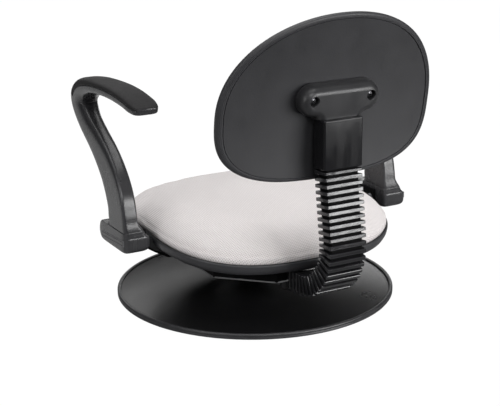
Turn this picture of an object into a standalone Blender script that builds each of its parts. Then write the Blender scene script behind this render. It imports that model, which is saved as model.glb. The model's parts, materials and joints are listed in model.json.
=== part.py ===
"""Floor-level swivel chair, built from its separate pieces.

A domed steel base carries a ball-bearing swivel. The seat, its two arms and a pressed steel pan turn
on it. A J-shaped steel bar slides in a guide under the seat. A ribbed boot covers the bar, and the
backrest slides up the bar's top.

Frame: metres, +Z up, origin on the floor at the swivel axis. The sitter faces -Y and the sitter's left is +X.
"""

import math

import bmesh
import bpy
from mathutils import Matrix, Vector

GAP = 0.0003
FULL_TURN = 2 * math.pi
ROUND = 44
EGG_SEGMENTS = 36

# Base and swivel
BASE_RADIUS = 0.2325
FLOOR_PLATE_THICKNESS = 0.003
DOME_RADIUS = 0.2290
DOME_TOP = 0.0295
DOME_RIM = 0.0062
DOME_FLAT_RADIUS = 0.050
DOME_THICKNESS = 0.002
COLUMN_RADIUS = 0.027
COLUMN_BORE = 0.0235
COLUMN_FLANGE_RADIUS = 0.045
COLUMN_FLANGE = 0.0035
COLUMN_TOP = 0.0758
RACE_RADIUS = 0.075
RACE_THICKNESS = 0.0025
BALL_RADIUS = 0.004
BALL_CIRCLE = 0.062
BALL_COUNT = 8
RACE_SCREW_CIRCLE = 0.036
RACE_SCREW_COUNT = 4
KING_BOLT_RADIUS = 0.006
KING_HOLE_RADIUS = 0.0065

# Seat mechanism
PAN_HALF_WIDTH = 0.125
PAN_FRONT = -0.100
PAN_REAR = 0.1645
PAN_BOTTOM = 0.069
PAN_WALL = 0.0025
SEAT_SCREWS = ((0.088, -0.070), (-0.088, -0.070), (0.088, 0.070), (-0.088, 0.070))
GUIDE_FRONT = 0.082
GUIDE_HALF_WIDTH = 0.0265
GUIDE_BOTTOM = 0.0655
KNOB_Y = 0.118
KNOB_RADIUS = 0.018
KNOB_LOBES = 6
STUD_RADIUS = 0.004

# Seat outline, rim and thickness
SEAT_HALF_WIDTH = 0.2014
SEAT_CENTRE_Y = 0.020
SEAT_TO_REAR = 0.1806
SEAT_TO_FRONT = 0.216
SEAT_REAR_POWER = 2.69
SEAT_FRONT_POWER = 2.8
RIM_HEIGHT = 0.1334
RIM_SLOPE = -0.0398
RIM_CURVATURE = -0.397
SHELL_THICKNESS = 0.0025
BOARD_THICKNESS = 0.009
CUSHION_CROWN = 0.041
SEAT_FLAT = 0.70
SEAT_TURN = 0.86
SEAT_EDGE = 0.93

# Arms
ARM_FOOT_INSIDE = 0.2155
ARM_FOOT_OUTSIDE = 0.2600
ARM_SPACING = 0.4813
ARM_BOLT_Y = (0.000, 0.024)
ARM_BOLT_Z = 0.133
STRAP_THICKNESS = 0.003
STRAP_HALF_WIDTH = 0.022
STRAP_CENTRE_Y = 0.012
STRAP_SCREW_X = 0.138

# Back bar, boot and sleeve
BAR_HALF_WIDTH = 0.022
BAR_HALF_THICKNESS = 0.003
BAR_FRONT = 0.080
BAR_RUN_Z = 0.072
BEND_CENTRE = (0.1928, 0.150)
BEND_RADIUS = 0.078
UPRIGHT_LEAN = math.radians(7.7)
SLEEVE_BOTTOM = 0.2698
SLEEVE_TOP = 0.3433
SLEEVE_CENTRE_Y = 0.2553
SLEEVE_HALF_WIDTH = 0.0332
SLEEVE_HALF_DEPTH = 0.0155
BAR_TOP = 0.3412
BOOT_FRONT = 0.1625
BOOT_PITCH = 0.0101
BOOT_CREST = (0.0320, 0.0160)
BOOT_VALLEY = (0.0270, 0.0115)
BOOT_BORE = (0.0232, 0.0075)

# Backrest
BACK_CENTRE = Vector((0.0, 0.2386, 0.3498))
BACK_RECLINE = math.radians(9.5)
BACK_HALF_WIDTH = 0.1834
BACK_TO_TOP = 0.1508
BACK_TO_BOTTOM = 0.1035
BACK_TOP_POWER = 2.08
BACK_BOTTOM_POWER = 3.13
BACK_SIDE_CURVE = 0.365
BACK_HEIGHT_CURVE = -0.74
BACK_CUSHION_CROWN = 0.047
COVER_HALF_WIDTH = 0.0665
COVER_DEPTH = 0.0265
BACK_SCREW_X = 0.048
BACK_SCREW_V = 0.0275

# Colours (linear) and surface values
CHARCOAL = (0.060, 0.060, 0.064, 1.0)
BLACK = (0.012, 0.012, 0.013, 1.0)
RUBBER = (0.020, 0.020, 0.022, 1.0)
STEEL = (0.45, 0.45, 0.46, 1.0)
PLYWOOD = (0.42, 0.28, 0.15, 1.0)
CLOTH = (0.70, 0.66, 0.64, 1.0)


# ---------------------------------------------------------------- helpers


def clear_scene():
    for obj in list(bpy.data.objects):
        bpy.data.objects.remove(obj, do_unlink=True)


def material(name, color, roughness, metallic=0.0):
    """One Principled material for one piece."""
    made = bpy.data.materials.new(name)
    made.use_nodes = True
    shader = made.node_tree.nodes["Principled BSDF"]
    shader.inputs["Base Color"].default_value = color
    shader.inputs["Roughness"].default_value = roughness
    shader.inputs["Metallic"].default_value = metallic
    made.diffuse_color = color
    return made


def painted(name):
    return material(name, BLACK, 0.45)


def plastic(name):
    return material(name, CHARCOAL, 0.5)


def steel(name):
    return material(name, STEEL, 0.3, 1.0)


def add_object(name, mesh, look, smooth_angle=math.radians(40)):
    mesh.materials.clear()
    mesh.materials.append(look)
    mesh.shade_smooth()
    mesh.set_sharp_from_angle(angle=smooth_angle)
    obj = bpy.data.objects.new(name, mesh)
    bpy.context.scene.collection.objects.link(obj)
    return obj


def finish_mesh(name, bm):
    """Turns a bmesh into a mesh whose faces point out."""
    bmesh.ops.remove_doubles(bm, verts=bm.verts, dist=1e-6)
    bmesh.ops.recalc_face_normals(bm, faces=bm.faces)
    if bm.calc_volume(signed=True) < 0:
        bmesh.ops.reverse_faces(bm, faces=bm.faces)
    mesh = bpy.data.meshes.new(name)
    bm.to_mesh(mesh)
    bm.free()
    return mesh


def loft(name, rings, closed=False):
    """A skin over rings of equal length. An open loft gets a cap on each end."""
    bm = bmesh.new()
    loops = [[bm.verts.new(point) for point in ring] for ring in rings]
    pairs = list(zip(loops, loops[1:]))
    if closed:
        pairs.append((loops[-1], loops[0]))
    for lower, upper in pairs:
        for i in range(len(lower)):
            j = (i + 1) % len(lower)
            bm.faces.new((lower[i], lower[j], upper[j], upper[i]))
    if not closed:
        bm.faces.new(loops[0])
        bm.faces.new(loops[-1])
    return finish_mesh(name, bm)


def circle(radius, z, segments):
    turns = [FULL_TURN * i / segments for i in range(segments)]
    return [Vector((radius * math.cos(turn), radius * math.sin(turn), z)) for turn in turns]


def lathe(name, profile, segments, closed=False):
    """Turns (radius, z) points round Z. A closed profile makes a ring, an open one a capped solid."""
    return loft(name, [circle(r, z, segments) for r, z in profile], closed)


def box_mesh(name, low, high):
    bm = bmesh.new()
    bmesh.ops.create_cube(bm, size=1.0)
    size = Vector(high) - Vector(low)
    centre = (Vector(high) + Vector(low)) / 2
    bmesh.ops.scale(bm, vec=size, verts=bm.verts)
    bmesh.ops.translate(bm, vec=centre, verts=bm.verts)
    return finish_mesh(name, bm)


def boolean(obj, mesh, operation="DIFFERENCE", place=None):
    """Combines obj with a helper solid, which stays out of the render."""
    helper = bpy.data.objects.new(f"{obj.name} helper", mesh)
    bpy.context.scene.collection.objects.link(helper)
    if place is not None:
        helper.matrix_world = place
    helper.hide_render = True
    helper.display_type = "WIRE"
    combine = obj.modifiers.new(operation.title(), "BOOLEAN")
    combine.operation = operation
    combine.solver = "EXACT"
    combine.object = helper


def drill(obj, radius, start, direction, length, segments=8):
    """Cuts a round hole from start along direction."""
    axis = Vector(direction).normalized()
    mesh = lathe("drill", [(radius, 0.0), (radius, length)], segments)
    turn = axis.to_track_quat("Z", "Y").to_matrix().to_4x4()
    boolean(obj, mesh, place=Matrix.Translation(start) @ turn)


def screw_mesh(name, head_radius, head_height, shank_radius, length, segments=8):
    """A screw along -Z with the underside of its head at Z = 0."""
    profile = [
        (shank_radius * 0.5, -length),
        (shank_radius, -length + shank_radius),
        (shank_radius, 0.0),
        (head_radius, 0.0),
        (head_radius, head_height * 0.6),
        (head_radius * 0.8, head_height),
    ]
    return lathe(name, profile, segments)


def place_along(obj, position, direction):
    """Puts an object's +Z along direction, with its origin at position."""
    turn = Vector(direction).normalized().to_track_quat("Z", "Y").to_matrix().to_4x4()
    obj.matrix_world = Matrix.Translation(position) @ turn


def hexagon(name, across, hole, low, high):
    """A hexagon nut with a round hole."""
    corners = 12
    outer = []
    for i in range(corners):
        turn = FULL_TURN * i / corners
        reach = across / 2 / math.cos((turn + math.pi / 6) % (math.pi / 3) - math.pi / 6)
        outer.append((reach * math.cos(turn), reach * math.sin(turn)))
    rings = [[Vector((x, y, low)) for x, y in outer], [Vector((x, y, high)) for x, y in outer]]
    rings.append(circle(hole, high, corners))
    rings.append(circle(hole, low, corners))
    return loft(name, rings, closed=True)


def egg(turn, half_width, to_top, to_bottom, top_power, bottom_power):
    """A point on an egg-shaped outline: two super-ellipse halves that share one width."""
    across = math.cos(turn)
    up = math.sin(turn)
    power = top_power if up >= 0 else bottom_power
    reach = to_top if up >= 0 else to_bottom
    x = half_width * math.copysign(abs(across) ** (2 / power), across)
    y = reach * math.copysign(abs(up) ** (2 / power), up)
    return x, y


def egg_solid(name, place, profile):
    """A solid swept round an egg outline. Each profile entry starts with its share of the outline's size.

    The first and the last entry lie on the middle, at share 0. Every quad is split from its inner corner, so
    that two surfaces a gap apart stay apart.
    """
    bm = bmesh.new()
    turns = [FULL_TURN * i / EGG_SEGMENTS for i in range(EGG_SEGMENTS)]
    first = bm.verts.new(place(0.0, profile[0]))
    last = bm.verts.new(place(0.0, profile[-1]))
    loops = [[bm.verts.new(place(turn, entry)) for turn in turns] for entry in profile[1:-1]]
    shares = [entry[0] for entry in profile[1:-1]]
    bands = []
    for k in range(len(loops) - 1):
        going_out = shares[k + 1] >= shares[k]
        bands.append((loops[k], loops[k + 1]) if going_out else (loops[k + 1], loops[k]))
    for i in range(EGG_SEGMENTS):
        j = (i + 1) % EGG_SEGMENTS
        bm.faces.new((first, loops[0][i], loops[0][j]))
        for inner, outer in bands:
            bm.faces.new((inner[i], outer[i], outer[j]))
            bm.faces.new((inner[i], outer[j], inner[j]))
        bm.faces.new((last, loops[-1][j], loops[-1][i]))
    return finish_mesh(name, bm)


def rounded_section(half_width, half_depth, corner, steps=2):
    """(x, n) points round a rectangle with round corners."""
    points = []
    for quarter in range(4):
        centre_x = (half_width - corner) * (1 if quarter in (0, 3) else -1)
        centre_n = (half_depth - corner) * (1 if quarter in (0, 1) else -1)
        for step in range(steps + 1):
            turn = (quarter + step / steps) * math.pi / 2
            points.append((centre_x + corner * math.cos(turn), centre_n + corner * math.sin(turn)))
    return points


# ---------------------------------------------------------------- base and swivel


def build_floor_plate():
    edge = 0.0006
    radius = DOME_RADIUS - 0.0050
    profile = [(radius - edge, 0.0), (radius, edge), (radius, FLOOR_PLATE_THICKNESS)]
    add_object("base_floor_plate", lathe("floor plate", profile, ROUND), painted("Floor plate black"))


def dome_height(radius):
    """Height of the dome's upper surface at a radius."""
    if radius <= DOME_FLAT_RADIUS:
        return DOME_TOP
    share = (radius - DOME_FLAT_RADIUS) / (DOME_RADIUS - DOME_FLAT_RADIUS)
    return DOME_RIM + (DOME_TOP - DOME_RIM) * (1 - share**1.5)


def build_dome():
    hole = COLUMN_BORE
    steps = 4
    reach = DOME_RADIUS - DOME_FLAT_RADIUS
    radii = [DOME_FLAT_RADIUS + reach * i / steps for i in range(steps + 1)]
    skirt_inside = DOME_RADIUS - 0.0045
    skirt_bottom = 0.0006
    top = [(hole, DOME_TOP)] + [(r, dome_height(r)) for r in radii]
    under = [(r, dome_height(r) - DOME_THICKNESS) for r in reversed(radii[:-1])]
    skirt = [(DOME_RADIUS, skirt_bottom), (skirt_inside, skirt_bottom), (skirt_inside, DOME_RIM - 0.001)]
    profile = top + skirt + under + [(hole, DOME_TOP - DOME_THICKNESS)]
    add_object("base_dome", lathe("dome", profile, ROUND, closed=True), painted("Dome black"))


def build_edge_trim():
    inside = DOME_RADIUS + GAP
    profile = [
        (inside, 0.0006),
        (inside, 0.0072),
        (DOME_RADIUS - 0.0022, 0.0078),
        (DOME_RADIUS - 0.0014, 0.0092),
        (inside + 0.0006, 0.0098),
        (BASE_RADIUS - 0.0008, 0.0088),
        (BASE_RADIUS, 0.0066),
        (BASE_RADIUS, 0.0016),
        (BASE_RADIUS - 0.0008, 0.0006),
    ]
    look = material("Edge trim", RUBBER, 0.55)
    add_object("base_edge_trim", lathe("edge trim", profile, ROUND, closed=True), look)


def build_column():
    foot = DOME_TOP + GAP
    profile = [
        (COLUMN_BORE, foot),
        (COLUMN_FLANGE_RADIUS, foot),
        (COLUMN_FLANGE_RADIUS, foot + COLUMN_FLANGE),
        (COLUMN_RADIUS, foot + COLUMN_FLANGE),
        (COLUMN_RADIUS, COLUMN_TOP - COLUMN_FLANGE),
        (COLUMN_FLANGE_RADIUS, COLUMN_TOP - COLUMN_FLANGE),
        (COLUMN_FLANGE_RADIUS, COLUMN_TOP),
        (KING_HOLE_RADIUS, COLUMN_TOP),
        (KING_HOLE_RADIUS, COLUMN_TOP - COLUMN_FLANGE),
        (COLUMN_BORE, COLUMN_TOP - COLUMN_FLANGE),
    ]
    column = add_object("pedestal_column", lathe("column", profile, 20, closed=True), painted("Column black"))
    for x, y in race_screw_places():
        drill(column, 0.0028, (x, y, COLUMN_TOP - 0.006), (0, 0, 1), 0.010)


def race_screw_places():
    turns = [FULL_TURN * (i + 0.5) / RACE_SCREW_COUNT for i in range(RACE_SCREW_COUNT)]
    return [(RACE_SCREW_CIRCLE * math.cos(t), RACE_SCREW_CIRCLE * math.sin(t)) for t in turns]


def build_lower_race():
    low = COLUMN_TOP + GAP
    top = low + RACE_THICKNESS
    lip = 0.002
    profile = [
        (KING_HOLE_RADIUS, low),
        (RACE_RADIUS, low),
        (RACE_RADIUS, top + lip),
        (RACE_RADIUS - RACE_THICKNESS, top + lip),
        (RACE_RADIUS - RACE_THICKNESS - lip, top),
        (KING_HOLE_RADIUS, top),
    ]
    mesh = lathe("lower race", profile, 28, closed=True)
    race = add_object("swivel_lower_race", mesh, steel("Lower race steel"))
    for number, (x, y) in enumerate(race_screw_places(), start=1):
        drill(race, 0.0028, (x, y, low - 0.002), (0, 0, 1), 0.008)
        mesh = screw_mesh("race screw", 0.0042, 0.002, 0.0025, RACE_THICKNESS + COLUMN_FLANGE)
        screw = add_object(f"race_screw_{number}", mesh, steel(f"Race screw {number} steel"))
        screw.location = (x, y, top + GAP)
    return top


def build_ball_cage(race_top):
    middle = race_top + GAP + BALL_RADIUS
    half = 0.0008
    inner, outer = BALL_CIRCLE - 0.006, BALL_CIRCLE + 0.006
    profile = [(inner, middle - half), (outer, middle - half), (outer, middle + half), (inner, middle + half)]
    cage = add_object("swivel_ball_cage", lathe("cage", profile, 24, closed=True), steel("Ball cage steel"))
    bm = bmesh.new()
    for i in range(BALL_COUNT):
        turn = FULL_TURN * (i + 0.5) / BALL_COUNT
        spot = Matrix.Translation((BALL_CIRCLE * math.cos(turn), BALL_CIRCLE * math.sin(turn), middle))
        bmesh.ops.create_uvsphere(bm, u_segments=7, v_segments=4, radius=BALL_RADIUS, matrix=spot)
    boolean(cage, finish_mesh("balls", bm), "UNION")
    return middle + BALL_RADIUS + GAP


def build_upper_race(low):
    """The moving race. Its middle is dished so that the king nut stays below its top."""
    top = low + RACE_THICKNESS
    dish = 0.006
    profile = [
        (KING_HOLE_RADIUS, low - dish),
        (0.028, low - dish),
        (0.035, low),
        (RACE_RADIUS, low),
        (RACE_RADIUS, top),
        (0.034, top),
        (0.027, top - dish),
        (KING_HOLE_RADIUS, top - dish),
    ]
    add_object("swivel_upper_race", lathe("upper race", profile, 28, closed=True), steel("Upper race steel"))
    nut_low = top - dish + GAP
    nut = hexagon("king nut", 0.017, KING_BOLT_RADIUS + GAP, nut_low, nut_low + 0.005)
    add_object("swivel_king_nut", nut, steel("King nut steel"))
    head_top = COLUMN_TOP - COLUMN_FLANGE - GAP
    profile = [
        (0.009, head_top - 0.006),
        (0.010, head_top - 0.005),
        (0.010, head_top),
        (KING_BOLT_RADIUS, head_top),
        (KING_BOLT_RADIUS, top - 0.001),
        (KING_BOLT_RADIUS - 0.0008, top - 0.0003),
    ]
    add_object("swivel_king_bolt", lathe("king bolt", profile, 16), steel("King bolt steel"))
    return top


# ---------------------------------------------------------------- seat mechanism


def pan_outline(inset):
    """Eight-sided plan of the pressed pan, with its rear corners cut at 45 degrees."""
    side = PAN_HALF_WIDTH - inset
    front = PAN_FRONT + inset
    rear = PAN_REAR - inset
    slant = inset * (math.sqrt(2) - 1)
    front_cut = 0.030
    rear_cut = 0.073
    right = [
        (side - front_cut + slant, front),
        (side, front + front_cut - slant),
        (side, rear - rear_cut + slant),
        (side - rear_cut + slant, rear),
    ]
    left = [(-x, y) for x, y in reversed(right)]
    return right + left


def build_pan(low):
    top = low + PAN_WALL
    outer = pan_outline(0.0)
    inner = pan_outline(PAN_WALL)
    levels = ((outer, PAN_BOTTOM), (outer, top), (inner, low), (inner, PAN_BOTTOM))
    bm = bmesh.new()
    rings = [[bm.verts.new((x, y, z)) for x, y in outline] for outline, z in levels]
    count = len(outer)
    bands = ((rings[0], rings[1]), (rings[3], rings[0]), (rings[2], rings[3]))
    for first, second in bands:
        for i in range(count):
            j = (i + 1) % count
            bm.faces.new((first[i], first[j], second[j], second[i]))
    bm.faces.new(rings[1])
    bm.faces.new(rings[2])
    pan = add_object("mechanism_pan", finish_mesh("pan", bm), painted("Pan black"))
    mouth = box_mesh("pan mouth", (-0.034, PAN_REAR - 0.010, 0.060), (0.034, PAN_REAR + 0.010, 0.0892))
    boolean(pan, mouth)
    for x, y in SEAT_SCREWS:
        drill(pan, 0.0034, (x, y, low - 0.003), (0, 0, 1), 0.010)
    return low, top


def build_guide(pan_under):
    """Open channel under the pan with a closed tunnel for the back bar."""
    top = pan_under - GAP
    tunnel_low = BAR_RUN_Z - BAR_HALF_THICKNESS - GAP
    tunnel_high = BAR_RUN_Z + BAR_HALF_THICKNESS + GAP
    tunnel_half = BAR_HALF_WIDTH + GAP
    rear = PAN_REAR - PAN_WALL - GAP
    past = 0.01
    mesh = box_mesh("guide", (-GUIDE_HALF_WIDTH, GUIDE_FRONT, GUIDE_BOTTOM), (GUIDE_HALF_WIDTH, rear, top))
    guide = add_object("bar_guide", mesh, steel("Guide steel"))
    cut_rear = rear + past
    cut_front = GUIDE_FRONT - past
    tunnel = box_mesh("tunnel", (-tunnel_half, cut_front, tunnel_low), (tunnel_half, cut_rear, tunnel_high))
    boolean(guide, tunnel)
    web_top = tunnel_high + 0.0026
    trough = box_mesh("trough", (-tunnel_half, cut_front, web_top), (tunnel_half, cut_rear, top + past))
    boolean(guide, trough)
    drill(guide, STUD_RADIUS + GAP, (0, KNOB_Y, GUIDE_BOTTOM - 0.002), (0, 0, 1), 0.0060, 16)


def build_knob():
    """Six-lobed hand knob with its threaded stud, on an axis that points down."""
    nut_high = GUIDE_BOTTOM - GAP
    nut_low = nut_high - 0.0055
    nut = hexagon("weld nut", 0.013, STUD_RADIUS + GAP, nut_low, nut_high)
    weld_nut = add_object("guide_weld_nut", nut, steel("Weld nut steel"))
    weld_nut.location = (0, KNOB_Y, 0)
    knob_top = nut_low - 0.003
    knob_bottom = knob_top - 0.020
    segments = KNOB_LOBES * 6

    def lobed(radius, z):
        ring = []
        for i in range(segments):
            turn = FULL_TURN * i / segments
            reach = radius * (1 + 0.09 * math.cos(KNOB_LOBES * turn))
            ring.append(Vector((reach * math.cos(turn), reach * math.sin(turn), z)))
        return ring

    rings = [
        lobed(KNOB_RADIUS * 0.80, knob_bottom),
        lobed(KNOB_RADIUS * 0.93, knob_bottom + 0.0025),
        lobed(KNOB_RADIUS * 0.93, knob_top - 0.006),
        lobed(KNOB_RADIUS * 0.60, knob_top),
    ]
    knob = add_object("depth_knob", loft("knob", rings), material("Knob black", RUBBER, 0.5))
    knob.location = (0, KNOB_Y, 0)
    drill(knob, STUD_RADIUS + GAP, (0, KNOB_Y, knob_top - 0.012), (0, 0, 1), 0.02, 16)
    stud_top = BAR_RUN_Z - BAR_HALF_THICKNESS - 0.0004
    profile = [
        (STUD_RADIUS * 0.8, knob_top - 0.0115),
        (STUD_RADIUS, knob_top - 0.0108),
        (STUD_RADIUS, stud_top - 0.001),
        (STUD_RADIUS * 0.7, stud_top),
    ]
    stud = add_object("depth_knob_stud", lathe("stud", profile, 16), steel("Knob stud steel"))
    stud.location = (0, KNOB_Y, 0)


# ---------------------------------------------------------------- seat


def rim_height(y):
    """Height of the seat's rim, which bows up in the middle and drops at the front and the rear."""
    return RIM_HEIGHT + RIM_SLOPE * y + RIM_CURVATURE * y * y


def seat_placer(flat_level):
    """A profile entry is (share, blend, height). The level goes from flat_level to the rim with blend."""
    outline = (SEAT_HALF_WIDTH, SEAT_TO_REAR, SEAT_TO_FRONT, SEAT_REAR_POWER, SEAT_FRONT_POWER)

    def place(turn, entry):
        share, blend, height = entry
        x, y = egg(turn, *outline)
        x *= share
        y = SEAT_CENTRE_Y + y * share
        return Vector((x, y, flat_level * (1 - blend) + rim_height(y) * blend + height))

    return place


def build_seat(shell_bottom):
    place = seat_placer(shell_bottom)
    wall = SHELL_THICKNESS
    shell = [
        (0.0, 0.0, 0.0),
        (SEAT_FLAT, 0.0, 0.0),
        (SEAT_TURN, 0.45, -0.0060),
        (0.955, 0.95, -0.0140),
        (0.985, 1.0, -0.0115),
        (0.998, 1.0, -0.0040),
        (1.0, 1.0, -0.0008),
        (0.994, 1.0, 0.0008),
        (0.985, 1.0, 0.0),
        (0.978, 1.0, -0.0060),
        (0.955, 0.97, -0.0115),
        (SEAT_EDGE, 0.86, -0.0105),
        (SEAT_TURN, 0.45, -0.0060 + wall),
        (SEAT_FLAT, 0.0, wall),
        (0.0, 0.0, wall),
    ]
    seat_shell = add_object("seat_shell", egg_solid("shell", place, shell), plastic("Seat shell charcoal"))
    under = wall + GAP
    over = under + BOARD_THICKNESS
    board = [
        (0.0, 0.0, under),
        (SEAT_FLAT, 0.0, under),
        (SEAT_TURN, 0.45, -0.0060 + under),
        (SEAT_EDGE, 0.86, -0.0105 + 2 * GAP),
        (0.940, 0.93, -0.0075),
        (SEAT_EDGE, 0.93, -0.0045),
        (SEAT_TURN, 0.45, -0.0060 + over),
        (SEAT_FLAT, 0.0, over),
        (0.0, 0.0, over),
    ]
    plywood = material("Seat board plywood", PLYWOOD, 0.7)
    seat_board = add_object("seat_board", egg_solid("board", place, board), plywood)
    clear = over + GAP
    cushion = [
        (0.0, 0.0, clear),
        (SEAT_FLAT, 0.0, clear),
        (SEAT_TURN, 0.45, -0.0060 + clear),
        (SEAT_EDGE, 0.93, -0.0045 + GAP),
        (0.965, 1.0, 0.0018),
        (0.985, 1.0, 0.0022),
        (0.992, 1.0, 0.0060),
        (0.985, 1.0, 0.0120),
        (0.955, 1.0, 0.0200),
        (0.89, 1.0, 0.0275),
        (0.76, 1.0, 0.0335),
        (0.52, 1.0, 0.0375),
        (0.26, 1.0, CUSHION_CROWN),
        (0.0, 1.0, CUSHION_CROWN),
    ]
    cloth = material("Seat cushion cloth", CLOTH, 0.9)
    add_object("seat_cushion", egg_solid("cushion", place, cushion), cloth)
    for x, y in SEAT_SCREWS:
        drill(seat_shell, 0.0034, (x, y, shell_bottom - 0.003), (0, 0, 1), 0.008)
        drill(seat_board, 0.0030, (x, y, shell_bottom - 0.001), (0, 0, 1), 0.0105)
    return seat_shell, seat_board


def build_seat_screws(pan_under):
    mesh = screw_mesh("seat screw", 0.0065, 0.003, 0.0027, PAN_WALL + SHELL_THICKNESS + 0.007)
    for number, (x, y) in enumerate(SEAT_SCREWS, start=1):
        screw = add_object(f"seat_screw_{number}", mesh.copy(), steel(f"Seat screw {number} steel"))
        place_along(screw, (x, y, pan_under - GAP), (0, 0, -1))


# ---------------------------------------------------------------- arms


def arm_section(centre_y, centre_z, tilt, inside, outside, half_depth, power):
    """A ring round the arm's path: tilt turns it from level about X, so that its top leans to the front."""
    points = []
    count = 20
    middle = (inside + outside) / 2
    half_width = (outside - inside) / 2
    for i in range(count):
        turn = FULL_TURN * i / count
        across = math.cos(turn)
        along = math.sin(turn)
        x = half_width * math.copysign(abs(across) ** (2 / power), across)
        n = half_depth * math.copysign(abs(along) ** (2 / power), along)
        points.append(Vector((middle + x, centre_y + n * math.cos(tilt), centre_z + n * math.sin(tilt))))
    return points


ARM_SECTIONS = (
    (0.0115, 0.1190, 0, 0.2262, 0.2560, 0.0385, 6.0),
    (0.0100, 0.1198, 0, 0.2232, 0.2578, 0.0450, 7.5),
    (0.0093, 0.1213, 0, 0.2202, 0.2591, 0.0485, 9.0),
    (0.0087, 0.1235, 0, 0.2178, 0.2598, 0.0508, 10.0),
    (0.0079, 0.1265, 0, 0.2163, 0.2600, 0.0524, 10.0),
    (0.0069, 0.1310, 0, 0.2155, 0.2600, 0.0536, 10.0),
    (0.0066, 0.1357, 0, 0.2155, 0.2600, 0.0539, 10.0),
    (0.0069, 0.1400, 0, 0.2156, 0.2600, 0.0536, 10.0),
    (0.0074, 0.1422, 0, 0.2163, 0.2600, 0.0530, 10.0),
    (0.0076, 0.1438, 0, 0.2180, 0.2600, 0.0525, 10.0),
    (0.0083, 0.1462, 0, 0.2208, 0.2600, 0.0518, 10.0),
    (0.0100, 0.1495, 0, 0.2230, 0.2600, 0.0500, 10.0),
    (0.0122, 0.1515, 0, 0.2241, 0.2600, 0.0478, 10.0),
    (0.0150, 0.1523, 0, 0.2246, 0.2598, 0.0450, 10.0),
    (0.0225, 0.1529, 0, 0.2250, 0.2592, 0.0374, 10.0),
    (0.0259, 0.1540, 0, 0.2257, 0.2590, 0.0339, 10.0),
    (0.0271, 0.1565, 0, 0.2274, 0.2594, 0.0326, 10.0),
    (0.0274, 0.1606, 0, 0.2302, 0.2595, 0.0319, 10.0),
    (0.0267, 0.1680, 0, 0.2338, 0.2595, 0.0316, 11.0),
    (0.0262, 0.1790, 2, 0.2347, 0.2596, 0.0310, 11.0),
    (0.0202, 0.2020, 12, 0.2350, 0.2600, 0.0315, 9.0),
    (0.0040, 0.2290, 24, 0.2350, 0.2604, 0.0305, 6.0),
    (-0.0235, 0.2560, 36, 0.2345, 0.2610, 0.0275, 4.4),
    (-0.0570, 0.2790, 44, 0.2335, 0.2618, 0.0238, 3.4),
    (-0.0880, 0.3000, 38, 0.2320, 0.2635, 0.0224, 3.0),
    (-0.1080, 0.3230, 14, 0.2300, 0.2655, 0.0235, 3.0),
    (-0.1095, 0.3385, -18, 0.2290, 0.2670, 0.0230, 3.0),
    (-0.0895, 0.3545, -50, 0.2280, 0.2685, 0.0180, 3.0),
    (-0.0500, 0.3650, -74, 0.2260, 0.2695, 0.0132, 3.4),
    (0.0000, 0.3695, -84, 0.2248, 0.2700, 0.0103, 4.2),
    (0.0500, 0.3695, -92, 0.2245, 0.2700, 0.0095, 4.6),
    (0.0950, 0.3655, -99, 0.2250, 0.2700, 0.0088, 4.8),
    (0.1230, 0.3605, -103, 0.2262, 0.2692, 0.0080, 4.8),
    (0.1320, 0.3587, -104, 0.2285, 0.2670, 0.0070, 4.4),
    (0.1350, 0.3580, -104, 0.2305, 0.2650, 0.0058, 4.2),
    (0.1360, 0.3578, -104, 0.2320, 0.2635, 0.0048, 4.0),
)


def build_arms():
    """Both arms are the same moulding, so the right one is the left one moved across."""
    rings = []
    for centre_y, centre_z, tilt, inside, outside, half_depth, power in ARM_SECTIONS:
        rings.append(arm_section(centre_y, centre_z, math.radians(tilt), inside, outside, half_depth, power))
    mesh = loft("arm", rings)
    moves = {"left": 0.0, "right": -ARM_SPACING}
    arms = {}
    for side, move in moves.items():
        arm = add_object(f"arm_{side}", mesh.copy(), plastic(f"Arm {side} charcoal"))
        arm.location.x = move
        arms[side] = arm
    return arms


def strap_side(points, thickness):
    """Outline of a bent strap in the XZ plane, offset to each side of its centre line."""
    half = thickness / 2
    offsets = []
    for i in range(len(points)):
        before = points[max(i - 1, 0)]
        after = points[min(i + 1, len(points) - 1)]
        run = (Vector(after) - Vector(before)).normalized()
        offsets.append(Vector((-run.y, run.x)) * half)
    upper = [Vector(p) + o for p, o in zip(points, offsets)]
    lower = [Vector(p) - o for p, o in zip(points, offsets)]
    return upper + lower[::-1]


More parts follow.
